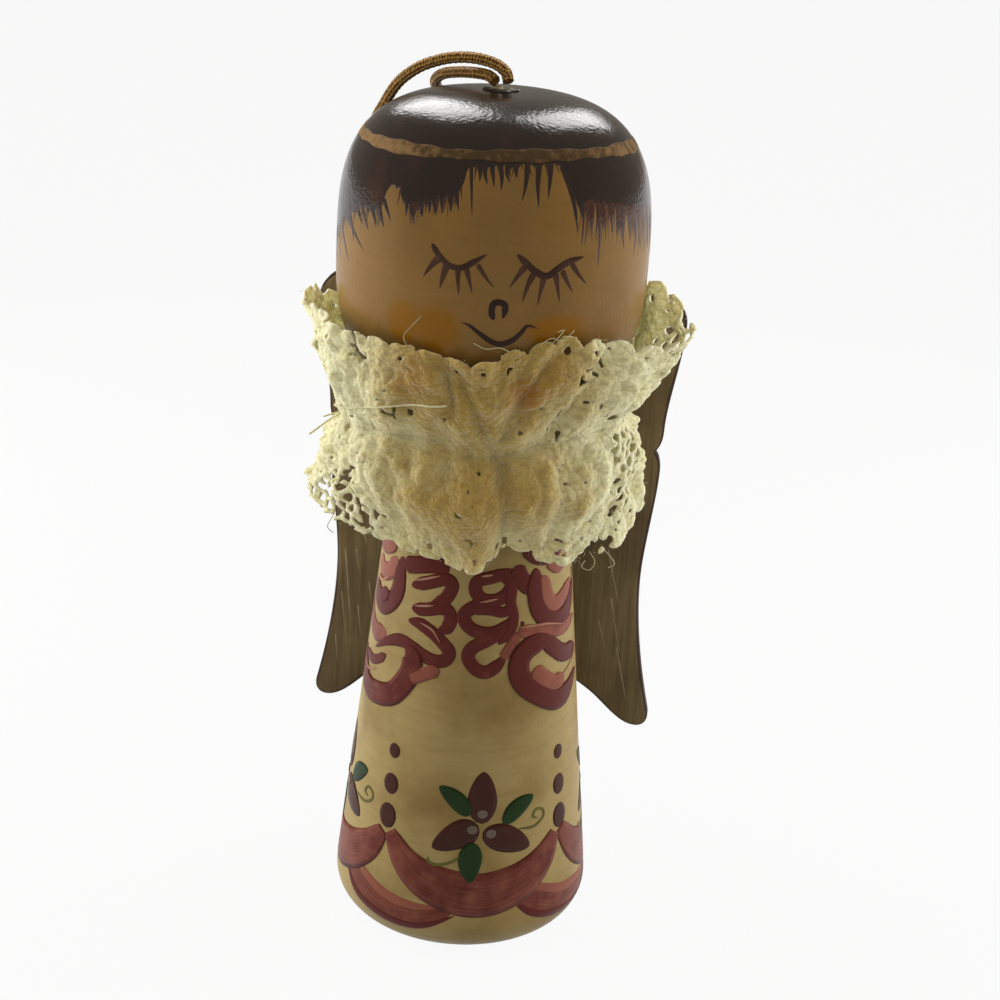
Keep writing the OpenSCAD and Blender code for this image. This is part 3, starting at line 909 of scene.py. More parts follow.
# Ribbons of the bodice: tone, half width, and points in degrees from the front and heights
RIBBONS = [
    (0.5, 1.08, [(-88, 37), (-80, 35.2), (-68, 34.2), (-55, 34.9)]),
    (0.85, 1.02, [(-79, 42.2), (-70, 41.2), (-60, 41.7), (-54, 43.6)]),
    (0.1, 1.14, [(-80, 39.6), (-73, 37.9), (-62, 37.7), (-53, 38.9), (-49.5, 40.4), (-50, 42),
                 (-48, 44)]),
    (0.1, 0.95, [(-47, 43.2), (-38, 43.6), (-30, 44), (-21, 44.3), (-15, 43.7)]),
    (0.1, 0.74, [(-39, 41.3), (-27, 42.2), (-17, 42.9), (-12.6, 42.4), (-14.5, 41.2), (-19, 40.3),
                 (-27, 39.5)]),
    (0.15, 0.74, [(-37, 38.9), (-28, 39.2), (-19, 39.7), (-14, 39.6), (-12, 38.7), (-14, 37.7),
                  (-19, 37.2)]),
    (0.15, 0.74, [(-38.5, 37.5), (-30, 37.5), (-22, 36.9), (-15.5, 36), (-11.5, 35.1), (-13.5, 34.2),
                  (-19, 33.9), (-26, 34.2), (-33, 34.7), (-42, 35), (-53, 34.2), (-66, 32.5)]),
    (0.1, 0.72, [(23, 44.2), (12.6, 43.6), (2.6, 43.1), (1.2, 42), (6, 41.1), (14, 41.1), (20, 41.8),
                 (21.6, 42.7), (15, 43.4)]),
    (0.15, 0.74, [(22, 41.3), (11, 40.8), (1, 40.3), (-4.6, 39.3), (-1.5, 38.1), (6, 37.5), (14, 37.6),
                  (20.5, 38.3), (24.5, 39.4)]),
    (0.15, 0.6, [(-1, 40), (9.5, 40), (18, 39.7), (23.5, 40.3)]),
    (0.2, 0.74, [(20, 37.9), (10, 36.8), (1.5, 35.9), (-1, 34.8), (3, 33.6), (9, 33.2), (15, 33.9),
                 (20, 35.1)]),
    (0.6, 0.6, [(18, 34.6), (22, 35.8), (28, 37.4)]),
    (0.12, 0.6, [(19, 43.6), (22.5, 42.2), (22, 40.6), (24, 39), (21.5, 37.4), (15, 36.2)]),
    (0.1, 0.95, [(25, 44.6), (29, 43), (34, 42.2), (38, 43.4)]),
    (0.15, 0.8, [(-77, 39.2), (-68, 38.4), (-58, 39.4)]),
    (0.05, 0.54, [(-78, 31.2), (-68, 31), (-60, 31.6), (-53, 32.6)]),
    (0.25, 1.32, [(-84, 31.5), (-76, 28.6), (-66, 27.8), (-54, 28.1), (-44, 28.9), (-37, 30.6),
                  (-33, 32.3), (-33.5, 33.8), (-38, 34.7)]),
    (0.6, 0.72, [(-33, 31.2), (-24, 32.3), (-16, 33)]),
    (0.8, 0.96, [(44, 43), (47.5, 40.6), (53.6, 39.4), (64, 39.8), (76, 41)]),
    (0.15, 1.14, [(38.5, 44), (38.8, 41), (42, 39.1), (51, 37.7), (63, 37.6), (74, 38.8), (82, 40.6)]),
    (0.65, 0.72, [(26.5, 37.4), (36, 37.2), (48.7, 36.7), (62, 36.2), (80, 36.6)]),
    (0.15, 1.02, [(45, 36), (53, 34.5), (63, 33.3), (79, 33)]),
    (0.7, 1.02, [(37, 32.9), (44, 31.5), (53, 30.5), (62, 30.8)]),
    (0.12, 1.26, [(50, 35.9), (37, 35.7), (29, 34.6), (27.6, 32.9), (32, 31.3), (42, 29.8), (53, 28.7),
                  (65, 28.9), (79, 30.4)]),
    (0.1, 0.25, [(28.4, 38.2), (29.5, 38.2), (30.6, 38.2)]),
    (0.6, 0.9, [(-86, 45.2), (-76, 43.9), (-64, 44.2), (-56, 45.2)]),
    (0.15, 0.9, [(30, 46.6), (40, 45.2), (52, 45), (66, 46.2)]),
    (0.7, 0.6, [(48, 44.3), (58, 43.2), (70, 44)]),
]
# Pale lines on the ribbons: points in degrees from the front and heights
GLINTS = [
    [(-38, 41.9), (-28, 42.6), (-20, 43.2)], [(-35, 39.3), (-28, 39.6), (-22, 39.9)],
    [(-30, 37.7), (-22, 37.2), (-17, 36)], [(3.6, 40.8), (9, 41), (14, 41.2)], [(4, 43.6), (11, 43.8)],
    [(-76, 40.2), (-68, 40.1), (-59, 41.1)], [(-80, 30.8), (-72, 29.6), (-61, 30.4)],
    [(26, 37.9), (45, 37.6), (62, 36.7)], [(81, 33), (72, 31.7), (59, 30.9)],
    [(80, 42), (80, 39.6), (72, 37.2)],
]


# Half width and lift of the glints, and how much higher each ribbon and each stroke of the swag underneath
# lies than the one before
GLINT_HALF = 0.12
GLINT_LIFT = 0.12
RIBBON_STEP = 0.004
UNDER_STEP = 0.01


def placed(points, turn, rise=0):
    """The points of a stroke, turned round the axis and raised."""
    return [(a + turn, z + rise) for a, z in points]


class DOLL_OT_skirt_paint(bpy.types.Operator):
    """Ribbons, swags, dots and flowers painted round the skirt"""
    bl_idname = "doll.skirt_paint"
    bl_label = "Skirt pattern"

    def execute(self, context):
        paint = Settings("doll_paint")
        chart = Turned(skirt_radius)
        self.ribbons(chart, stroke_finish("ribbon_paint", paint.burgundy, paint.pink, 0.4))
        plum = stroke_finish("petal_paint", toned(paint.plum, 0.6), paint.plum, 0.4)
        green = stroke_finish("leaf_paint", toned(paint.leaf, 0.5), paint.leaf, 0.4)
        vine = stroke_finish("vine_paint", toned(paint.vine, 0.6), paint.vine, 0.45)
        grey = stroke_finish("spot_paint", toned(paint.spot, 0.6), paint.spot, 0.45)
        between = PATTERN_TURN / 2
        dots = [([(between, z - tall), (between, z), (between, z + tall)], half) for z, half, tall in DOTS]
        tendrils = [(points, TENDRIL_HALF) for points in TENDRILS]
        spots = [([(a - SPOT_LONG, z), (a, z + 0.1), (a + SPOT_LONG, z)], SPOT_HALF) for a, z in PETAL_SPOTS]
        for name, strokes, material, shape, lift, samples, tone in (
                ("skirt_dots", dots, plum, "oval", 0.02, 20, 0.35),
                ("flower_petals", PETALS, plum, "petal", 0.02, 32, 0.3),
                ("flower_leaves", LEAVES, green, "leaflet", 0.05, 32, 0.4),
                ("flower_tendrils", tendrils, vine, "brush", 0.05, 40, 0.4),
                ("flower_spots", spots, grey, "oval", 0.09, 16, 0.5)):
            pile = Pile()
            for turn in range(REPEATS):
                moved, higher = ASIDE if turn == ASIDE_TURN else (0, 0)
                middle = PATTERN_AT + turn * PATTERN_TURN + moved
                for points, half in strokes:
                    add_stroke(pile, chart, placed(points, middle, higher), half, shape, lift, samples, tone)
            make_piece(name, pile, material)
        glints = Pile()
        for points in GLINTS:
            add_stroke(glints, chart, points, GLINT_HALF, "leaf", GLINT_LIFT, mark=0.5)
        pale = stroke_finish("glint_paint", paint.pink, paint.glint, 0.4)
        make_piece("ribbon_glints", glints, pale)
        return {"FINISHED"}

    def ribbons(self, chart, material):
        """Swags round the foot and the ribbons of the bodice."""
        pile = Pile()
        for turn in range(REPEATS):
            middle = PATTERN_AT + turn * PATTERN_TURN
            for k, (tone, half, points) in enumerate(UNDER_SWAGS):
                line = placed(points, middle + PATTERN_TURN / 2)
                add_stroke(pile, chart, line, half, "crescent", UNDER_STEP * k, 40, tone)
            add_stroke(pile, chart, placed(SWAG, middle), SWAG_HALF, "swag", SWAG_LIFT, 48, SWAG_TONE)
        for k, (tone, half, points) in enumerate(RIBBONS):
            add_stroke(pile, chart, points, half, "brush", RIBBON_STEP * k, 12 * len(points), tone)
        make_piece("skirt_ribbons", pile, material)


# The head

# Cheeks: degrees from the front, height, half width in degrees and half height
CHEEKS = [(-31, 71.1, 7.5, 2.2), (-18, 70.8, 9.5, 2.6), (25, 71.3, 12, 1.6)]


def cheek_mark(a, z):
    """Strength of the cheek paint: one soft oval each, the strongest of them where they meet."""
    a = front_turn(a)
    ovals = [np.exp(-0.9 * (((a - x) / w) ** 2 + ((z - y) / h) ** 2) ** 1.5) for x, y, w, h in CHEEKS]
    return np.maximum.reduce(ovals)


class DOLL_OT_head(bpy.types.Operator):
    """Turned barrel-shaped head with the holes for the dowel and the cord"""
    bl_idname = "doll.head"
    bl_label = "Head"

    def execute(self, context):
        s = Settings("doll_head")
        skirt = Settings("doll_skirt")
        wide = SEAT_Z + s.wide_height
        t = np.linspace(0, math.pi / 2, 70)
        low_z = wide - s.wide_height * np.sin(t[::-1])
        high_z = wide + (CROWN_Z - wide) * np.sin(t[1:]) ** (2 / s.crown_fullness)
        high_r = HEAD_RAD * np.cos(t[1:]) ** (2 / s.crown_fullness)
        keep = high_r > s.cord_hole
        hole = s.cord_hole
        floor = CROWN_Z - s.cord_depth
        socket = skirt.dowel_hole
        socket_z = SEAT_Z + skirt.dowel_depth
        below = ([POLE, socket, socket], [socket_z, socket_z, SEAT_Z])
        above = ([hole, hole, POLE], [CROWN_Z, floor, floor])
        radii = np.concatenate([below[0], head_radius(low_z), high_r[keep], above[0]])
        heights = np.concatenate([below[1], low_z, high_z[keep], above[1]])
        pile = Pile()
        add_turned(pile, radii, heights, HEAD_COLUMNS, mark=cheek_mark)
        piece = make_piece("head_turned", pile, face_finish())
        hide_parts("head")
        return {"FINISHED"}


# Lower edge of the hair: degrees from the front and heights
HAIRLINE = [
    (-180, 70), (-120, 72), (-88, 76.4), (-70, 79), (-56, 81), (-43.5, 81.4), (-41, 84), (-36.5, 84),
    (-34, 82.6), (-27, 82.4), (-20, 83.4), (-14, 83.8), (-11.6, 84.8), (-10.4, 86.6), (0, 86.7),
    (14, 87), (24, 87.1), (27, 86.8), (29, 85.3), (31, 83.2), (38, 83.4), (48, 82.8), (62, 82),
    (80, 81.5), (100, 79), (130, 74), (180, 70),
]
# Brush marks that hang from the hairline: where they start and end, and their half width
FRINGE = [
    (-86, 78, -78, 74.2, 0.5), (-80, 79, -71, 75, 0.45), (-74, 79.5, -62, 75.4, 0.4),
    (-70, 80.5, -51, 77, 0.38), (-66, 81, -58, 77.6, 0.4), (-61, 82, -53, 79.6, 0.55),
    (-57, 82, -49, 79.2, 0.4), (-52, 82.5, -45, 79.8, 0.5), (-47, 83, -41, 79.9, 0.6),
    (-43, 82.6, -38, 80.6, 0.3), (-34, 84, -31.6, 81.4, 0.4), (-31, 84, -28, 80.8, 0.5),
    (-28, 84, -25, 81.6, 0.45), (-25, 84.4, -22.6, 82, 0.4), (-22, 84.4, -20, 82, 0.4),
    (-19.6, 84.6, -17.8, 82.2, 0.35), (-16.6, 85, -15, 82.4, 0.4), (-13.6, 85.4, -12, 82.6, 0.35),
    (-9.4, 87, -7.2, 82.2, 0.2), (-6.6, 87, -5.6, 85.4, 0.3), (-4, 87, -2.6, 85.2, 0.3),
    (-1.4, 87, -0.2, 84.9, 0.25), (1.6, 87, 2.4, 84.7, 0.3), (4.4, 87, 5.4, 85.4, 0.25),
    (7.6, 87, 8, 85.9, 0.3), (12.4, 87.4, 10, 83.8, 0.32), (17, 87.4, 16, 83.2, 0.34),
    (22, 87.4, 19.4, 84, 0.32), (26.4, 87.2, 31, 80.6, 0.42), (33, 84.4, 33.4, 81.8, 0.5),
    (36.4, 84, 36.4, 81, 0.45), (39.6, 84.4, 40.2, 77, 0.28), (43, 84, 43, 80.8, 0.5),
    (46, 84, 46.6, 80.4, 0.5), (49.6, 83.6, 50, 80, 0.5), (53, 83.4, 53.4, 78.6, 0.5),
    (57, 83, 57.4, 79.2, 0.5), (61, 83, 61.6, 78.4, 0.5), (65, 82.6, 65.6, 78.2, 0.5),
    (70, 82.4, 70.6, 77.6, 0.5), (75, 82, 75.6, 77.6, 0.5), (81, 81.8, 81, 77, 0.5),
    (88, 81, 87, 76, 0.55), (95, 80, 94, 75, 0.55),
]
# Angle past which the brush ran dry, and how dry the marks are up to there and past it
DRY_FROM = 33
WET, DRY = 0.15, 0.55
# Dry bristle marks: from and to in degrees, their number, least and greatest length, and dryness
BRISTLES = [
    (-105, -62, 46, 0.4, 3.0, 0.3), (-60, -43, 24, 0.3, 2.2, 0.3), (-36, -12, 34, 0.3, 2.0, 0.5),
    (-9, 24, 26, 0.2, 1.2, 0.5), (32, 60, 70, 0.5, 4.0, 0.8), (60, 108, 110, 0.5, 4.6, 0.9),
]


# Thickness of the hair paint and how far its underside lies in the wood
HAIR_THICK = 0.06
HAIR_SUNK = 0.15
# Points of its grid: columns round the head, rings on the crown and rows down the side, and how far below
# the crown's top the rings meet the rows
HAIR_COLUMNS = 420
CROWN_RINGS = 25
SIDE_ROWS = 44
CROWN_DEPTH = 1.9
# How far above the hairline the dry bristle marks start
BRISTLE_ROOT = 0.7
# Lift, dome and underside of the gold band
HALO_LIFT = 0.064
HALO_DOME = 0.02
HALO_SUNK = 0.1


def hairline(a):
    """Height of the hair's lower edge at the angles a."""
    return np.interp(a, *np.array(HAIRLINE).T)


def hair_cap():
    """Skin of the hair as a closed ring of rows: outside over the crown and down to the ragged edge,
    and back inside the wood. The rows down the side share out the way to the edge."""
    s = Settings("doll_head")
    a = np.linspace(-180, 180, HAIR_COLUMNS, endpoint=False)[None, :]
    ragged = 0.16 * np.sin(a * 1.9 + 0.6) + 0.13 * np.sin(a * 3.3 + 2) + 0.1 * np.sin(a * 0.7)
    clean_parting = 1 - np.exp(-((a - 27) / 3) ** 2)
    edge = hairline(a) + ragged * clean_parting
    brow_z = CROWN_Z - CROWN_DEPTH
    side_z = brow_z + (edge - brow_z) * np.linspace(0, 1, SIDE_ROWS)[:, None] ** 1.2
    brow_r = float(head_radius(np.array(brow_z)))
    crown_r = np.linspace(s.cord_hole + 0.2, brow_r, CROWN_RINGS + 1)[:-1, None]
    r = np.concatenate([crown_r + 0 * a, head_radius(side_z)])
    z = np.concatenate([crown_height(crown_r) + 0 * a, side_z])
    thick = HAIR_THICK * np.minimum(1, np.linspace(3, 0.2, len(z)))[:, None]
    return np.concatenate([shell(a, z, r, thick), shell(a, z, r, -HAIR_SUNK)[::-1]])


def crown_height(r):
    """Height of the crown at radius r: the upper curve of the head solved for its height."""
    s = Settings("doll_head")
    wide = SEAT_Z + s.wide_height
    share = (1 - (r / HEAD_RAD) ** s.crown_fullness) ** (1 / s.crown_fullness)
    return wide + (CROWN_Z - wide) * share


def shell(a, z, r, lift):
    """Points at a lift above the head, along the normal of its profile on each column."""
    dr = np.gradient(r, axis=0)
    dz = np.gradient(z, axis=0)
    size = np.maximum(np.hypot(dr, dz), TINY)
    return around(r - dz / size * lift, a, z + dr / size * lift)


class DOLL_OT_hair(bpy.types.Operator):
    """Painted hair: a thin cap with a ragged edge, the brush marks under it and the gold band"""
    bl_idname = "doll.hair"
    bl_label = "Hair and halo"

    def execute(self, context):
        chart = Turned(head_radius)
        cap = Pile()
        cap.add_skin(hair_cap(), ring=True)
        for k, (a0, z0, a1, z1, half) in enumerate(FRINGE):
            bend = (a0 + 0.55 * (a1 - a0) + 0.6 * math.sin(2.1 * k), 0.5 * (z0 + z1))
            dry = DRY if a0 > DRY_FROM else WET
            add_stroke(cap, chart, [(a0, z0), bend, (a1, z1)], half, "flick", 0.0, 18, dry)
        self.bristles(cap, chart)
        make_piece("hair_painted", cap, hair_finish())
        self.halo(chart)
        return {"FINISHED"}

    def bristles(self, cap, chart):
        """Fine dry marks of single bristles below the hairline, longest at the sides."""
        rng = np.random.default_rng(17)
        for first, last, count, short, long, dry in BRISTLES:
            starts = rng.uniform(first, last, count)
            drops = rng.uniform(short, long, count)
            leans = rng.normal(0.012 * (first + last) / 2 * np.sign(-first), 0.9, count)
            halves = rng.uniform(0.06, 0.17, count)
            for a0, z0, drop, lean, half in zip(starts, hairline(starts), drops, leans, halves):
                root = z0 + BRISTLE_ROOT
                low = z0 - drop
                line = [(a0, root), (a0 + 0.4 * lean, 0.5 * (root + low)), (a0 + lean, low)]
                add_stroke(cap, chart, line, half, "flick", 0.004, 10, dry)

    def halo(self, chart):
        """Gold band on the hair, of uneven width and height, darker in front and a little darker towards the
        doll's left.
        """
        s = Settings("doll_head")
        ring = np.linspace(-180, 180, 360, endpoint=False)[:, None]
        half = s.halo_width / 2 * (1 + 0.18 * np.sin(ring * 0.11) + 0.12 * np.sin(ring * 0.43 + 1))
        high = SEAT_Z + s.halo_height + 0.22 * np.sin(ring * DEG * 2 + 0.4)
        rise = np.where(ON_TOP, HALO_LIFT + HALO_DOME * (1 - SECTION ** 4), -HALO_SUNK)
        points = chart.lay(ring + 0 * SECTION, high + half * SECTION, rise + 0 * ring)
        darker_in_front = 0.8 * np.exp(-((ring - 4) / 42) ** 4)
        darker_in_front += 0.3 * smooth((ring - 20) / 30) * smooth((140 - ring) / 40)
        band = Pile()
        band.add_skin(points, mark=darker_in_front, ring=True)
        make_piece("halo_band", band, halo_finish())


# Lines of the face: half width, shape, and points in degrees from the front and heights
EYES = [
    (0.29, "brush", [(-20.8, 79.3), (-19, 78.6), (-17, 78), (-14, 77.4), (-10, 77.3), (-6, 77.9),
                     (-1.2, 78.8)]),
    (0.33, "brush", [(9, 78.9), (13, 77.9), (16, 77.2), (20, 76.8), (24, 77.5), (28, 78.1),
                     (34, 78.5)]),
]
LASHES = [
    (0.34, [(-18, 78), (-20.5, 77.2), (-23.4, 76)]), (0.33, [(-15, 77.4), (-16.2, 76.2), (-17.2, 75)]),
    (0.26, [(-11, 77.3), (-10.8, 76), (-10.2, 74.6)]), (0.26, [(-8.2, 77.4), (-7, 76.2), (-5.6, 74.9)]),
    (0.22, [(-4.4, 77.8), (-1.4, 76.6), (2, 75.5)]),
    (0.28, [(12.2, 77.8), (9.6, 76.8), (6.8, 75.6)]), (0.29, [(15.2, 77.1), (13.2, 75.8), (11.6, 74.2)]),
    (0.28, [(19, 76.7), (18, 75.4), (17, 73.9)]), (0.28, [(23, 77), (24, 75.8), (25.2, 74.2)]),
    (0.26, [(25.4, 77.3), (27.6, 76.2), (30.2, 75)]), (0.25, [(29, 77.9), (32, 76.8), (35.8, 75.7)]),
]
# Factor on the lashes' widths, and half widths of nose and mouth
LASH_FACTOR = 1.2
NOSE_HALF = 0.31
MOUTH_HALF = 0.29
NOSE = [(2.2, 72.4), (1.3, 73.2), (1.8, 74), (3.6, 74.2), (5.6, 74), (5.9, 73.4), (5.2, 72.6)]
MOUTH = [
    (-9, 72), (-6, 71.7), (-2, 70.9), (2, 70.2), (5, 70), (9, 70.4), (12, 71.2), (14.2, 71.9),
    (18, 71.6),
]


class DOLL_OT_face(bpy.types.Operator):
    """Closed eyes with lashes, the nose and the mouth, in thin brush lines"""
    bl_idname = "doll.face"
    bl_label = "Face"

    def execute(self, context):
        paint = Settings("doll_paint")
        chart = Turned(head_radius)
        lines = Pile()
        for half, shape, points in EYES:
            add_stroke(lines, chart, points, half, shape, 0.02, 48, 0.4)
        for half, points in LASHES:
            add_stroke(lines, chart, points, LASH_FACTOR * half, "flick", 0.01, 20, 0.55)
        add_stroke(lines, chart, NOSE, NOSE_HALF, "brush", 0.02, 40, 0.25)
        add_stroke(lines, chart, MOUTH, MOUTH_HALF, "leaf", 0.02, 56, 0.25)
        finish = stroke_finish("line_paint", paint.line, toned(paint.line, 4.2), 0.45)
        make_piece("face_lines", lines, finish)
        return {"FINISHED"}


# The wings


def wing_outline():
    """Right half of the wings' outline from the saddle to the crotch, as cubic curves between points
    with handles, and its mirror image, as one closed line of points across and heights."""
    lobe_w, cusp_w, waist_w, tip_w = 20.3, 18.0, 17.5, 19.6
    saddle, lobe, cusp, waist, crotch, tip = 57, 69.7, 51.7, 35.5, 29, 18
    lobe_in = 12.85
    lobe_mid = (lobe_in + lobe_w) / 2
    nodes = [
        ((0, saddle), (0, 0), (4, 0.2)), ((lobe_in - 4.2, saddle + 3.4), (-2.4, -1.8), (2.2, 1.7)),
        ((lobe_in + 0.3, lobe - 4.3), (-1, -2.2), (0.6, 1.8)), ((lobe_mid, lobe), (-1.6, 0), (1.8, 0)),
        ((lobe_w, lobe - 3.4), (0, 1.9), (0, -3.8)), ((cusp_w + 0.8, cusp + 2.3), (0.1, 4), (0, -0.9)),
        ((cusp_w, cusp), (0.5, 0.5), (0.5, -0.5)), ((cusp_w + 0.7, cusp - 2.4), (0, 0.9), (-0.1, -4)),
        ((waist_w, waist), (0, 4.5), (0, -5)), ((tip_w, tip + 2), (-1.2, 5), (0.3, -1.3)),
        ((tip_w - 1.5, tip), (1.1, -0.1), (-1.8, 0.1)), ((tip_w - 6.6, tip + 3.6), (1.6, -1.3), (-2.5, 2)),
        ((0, crotch), (4, -2), (0, 0)),
    ]
    n = np.array(nodes, float)
    u = np.linspace(0, 1, 24, endpoint=False)[None, :, None]
    w = 1 - u
    a, b = n[:-1, None, 0], n[1:, None, 0]
    after, before = n[:-1, None, 2], n[1:, None, 1]
    curve = w ** 3 * a + 3 * u * w ** 2 * (a + after) + 3 * u ** 2 * w * (b + before) + u ** 3 * b
    half = np.concatenate([curve.reshape(-1, 2), n[-1:, 0]])
    mirror = half[1:-1][::-1] * (-1, 1)
    return even(np.concatenate([half, mirror, half[:1]]), 720)[:-1]


# Pale strokes on the wings: half width, and points across the panel and heights
STREAKS = [
    (0.14, [(-16.5, 37), (-16, 31.6), (-15.6, 26.8)]), (0.12, [(-15.2, 37), (-14.8, 34)]),
    (0.11, [(-16.8, 31.6), (-16.4, 28), (-16, 24.6)]), (0.14, [(-14.4, 39), (-14, 37.6)]),
    (0.11, [(-17.4, 26), (-17, 22.4)]), (0.1, [(-14.8, 30), (-14.4, 26)]),
    (0.1, [(-13.6, 33), (-13.2, 29.6)]), (0.11, [(13.6, 40), (14.6, 36), (15.4, 33)]),
    (0.1, [(14.4, 34), (15.2, 30), (16, 27)]), (0.1, [(13.2, 31), (14.2, 27.4)]),
    (0.11, [(15.4, 28), (16.4, 24), (17, 21.4)]), (0.09, [(14, 44), (15, 41)]),
]


class DOLL_OT_wings(bpy.types.Operator):
    """Flat wing panel with rounded edges, and the pale strokes brushed on its front"""
    bl_idname = "doll.wings"
    bl_label = "Wings"

    def execute(self, context):
        paint = Settings("doll_paint")
        s = Settings("doll_wings")
        line = wing_outline()
        run = unit(np.roll(line, -1, axis=0) - np.roll(line, 1, axis=0))
        inward = np.stack([run[:, 1], -run[:, 0]], axis=-1)
        arc = np.linspace(0, math.pi / 2, 5)
        inset = np.concatenate([1 - np.sin(arc), 1 - np.sin(arc[::-1])])[:, None]
        front_y = s.front + s.edge_round * (1 - np.cos(arc))
        back_y = s.front + s.thickness - s.edge_round * (1 - np.cos(arc[::-1]))
        depth = np.concatenate([front_y, back_y])[:, None]
        flat = line + inward * s.edge_round * inset[..., None]
        points = np.stack(np.broadcast_arrays(flat[..., 0], depth, flat[..., 1]), axis=-1)
        pile = Pile()
        pile.add_skin(turned_wings(points), flat, 1 - inset)
        piece = make_piece("wing_cutout", pile, wing_finish())
        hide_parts("wing_panel")
        strokes = Pile()
        chart = WingFace()
        for half, stroke_line in STREAKS:
            add_stroke(strokes, chart, stroke_line, half, "flick", 0.0, 24, 0.45)
        pale = stroke_finish("streak_paint", paint.wing, paint.streak, 0.5)
        make_piece("wing_streaks", strokes, pale)
        return {"FINISHED"}


# The lace

# Angles from the middle of the back within which the lace is pressed flat, and past which it is free
PRESSED_TO = 52
FREE_FROM = 80
# Clearance of the pressed lace from the wings
WING_GAP = 0.3


def from_back(a):
    """Degrees from the middle of the back, as the wings are turned."""
    return np.abs(front_turn(a - (180 - Settings("doll_wings").turn)))


def openness(a):
    """1 where the lace is free to flare, and 0 at the back, where the wings press it flat."""
    return smooth((from_back(a) - PRESSED_TO) / (FREE_FROM - PRESSED_TO))


# Angles from the front at which the lace starts to get rougher, and where it is roughest
ROUGH_FROM = 20
ROUGH_TO = 60


def at_sides(a):
    """0 in front, 1 at the sides and the back, and smooth between."""
    return smooth((np.abs(front_turn(a)) - ROUGH_FROM) / (ROUGH_TO - ROUGH_FROM))


# Random heights in the crumpled noise, its cells across, and its cells along where it doesn't close
HEIGHTS = 4096
CELLS_ACROSS = 61
CELLS_ALONG = 997


def crumpled(u, v, seed, closed_after=CELLS_ALONG):
    """Seeded noise from -1 to 1: random heights on a grid of unit cells, eased between its points,
    and the same again after the given number of cells along u."""
    heights = np.random.default_rng(seed).uniform(-1, 1, HEIGHTS)
    i, j = np.floor(u).astype(int), np.floor(v).astype(int)
    fu, fv = smooth(u - i), smooth(v - j)

    def height(k, m):
        k = k % closed_after
        m = m % CELLS_ACROSS
        return heights[(k * CELLS_ACROSS + m * 17 + k * m) % HEIGHTS]

    low = height(i, j) * (1 - fu) + height(i + 1, j) * fu
    high = height(i, j + 1) * (1 - fu) + height(i + 1, j + 1) * fu
    return low * (1 - fv) + high * fv


# Edges of the ruffles, their reach from the axis and the rise of the gathers: degrees from the front
# and values
UPPER_EDGE = [
    (-180, 66), (-112, 68.6), (-94, 70.8), (-80, 70.3), (-62, 69.6), (-40, 69.3), (-22, 69), (-8, 68.2),
    (2, 68.7), (12, 69.8), (25, 71), (45, 70.2), (60, 69), (70, 68.8), (82, 70.6), (95, 73),
    (110, 72.4), (135, 68), (180, 66),
]
UPPER_REACH = [
    (-130, 14.6), (-110, 17), (-95, 19.2), (-78, 18.4), (-60, 18), (-40, 17), (-15, 16), (15, 16),
    (30, 16.4), (45, 17.6), (60, 20.2), (70, 21.6), (82, 20.8), (95, 18), (130, 14.6),
]
LOWER_EDGE = [
    (-180, 50), (-100, 51.5), (-70, 49.4), (-55, 48.2), (-45, 47.8), (-34, 47.2), (-25, 46.6),
    (-15, 46.2), (-7, 45), (3, 45.2), (8, 46), (11, 47.8), (16, 47.8), (30, 46.2), (42, 46), (60, 47.3),
    (78, 50.2), (100, 51.5), (180, 50),
]
LOWER_REACH = [
    (-180, 11), (-125, 12.5), (-95, 17.6), (-75, 18.2), (-58, 17), (-40, 14.6), (-15, 13.2), (0, 12.8),
    (12, 12.4), (30, 13.6), (45, 15.2), (60, 16.8), (78, 17), (95, 15.6), (125, 12.5), (180, 11),
]
GATHER_RISE = [
    (-180, 0), (-90, -1), (-62, -0.6), (-40, 0.4), (-18, 0.2), (4, -1.6), (20, 0.2), (40, 0.9),
    (66, 1.6), (90, 0.5), (180, 0),
]
# How much further out the ruffles leave the gathers than in front
GATHER_REACH = [
    (-180, 0), (-110, 0.2), (-76, 0.9), (-55, 2.6), (-35, 1.9), (-20, 0.6), (20, 0.6), (35, 1.7),
    (55, 2.6), (76, 1.6), (110, 0.4), (180, 0),
]
# Main creases: from angle and height to angle and height, depth and half width
CREASES = [
    (-12, 68.6, 10, 55, 0.9, 0.8), (45, 69.4, 26, 59.5, 1.1, 0.9), (9, 58, 13, 46.5, 1.1, 0.7),
    (-36, 59, -30, 48, 0.7, 0.9), (-62, 61, -48, 49.5, 0.9, 0.9), (52, 59.5, 57, 47, 1.0, 0.9),
    (30, 58.5, 34, 46.5, 0.6, 0.8), (-14, 58, -12, 46, 0.5, 0.8), (68, 66.8, 50, 60.5, 0.8, 0.9),
    (20, 64, 6, 59, 0.5, 0.6), (-17, 69.6, -9, 61, 0.9, 0.6), (27, 70.6, 9, 61, 0.9, 0.7),
]


# Steps in degrees over which a table is averaged
TABLE_STEPS = (-5, -2.5, 0, 2.5, 5)


def round_table(a, table):
    """Reads a table at the angles a: straight between its points, averaged over a few degrees."""
    at, value = np.array(table).T
    return np.mean([np.interp(front_turn(a + step), at, value) for step in TABLE_STEPS], axis=0)


def creased(a, z):
    """Depth of the creases at a place: a soft groove along each line, which fades at its ends."""
    turn = front_turn(a)
    total = 0
    for a0, z0, a1, z1, depth, wide in CREASES:
        way = (z - z0) / (z1 - z0)
        off = (turn - a0 - (a1 - a0) * np.clip(way, 0, 1)) * Settings("doll_lace").waist * DEG
        total = total + depth * smooth(way / 0.2) * smooth((1 - way) / 0.2) * np.exp(-(off / wide) ** 2)
    return total


# Folds of the cloth, from broad to fine: width in degrees, and depth
WAVE_WIDE, WAVE_DEEP = 9, 0.3
FOLD_WIDE, FOLD_DEEP = 12, 0.55
WRINKLE_WIDE, WRINKLE_DEEP = 4.5, 0.32
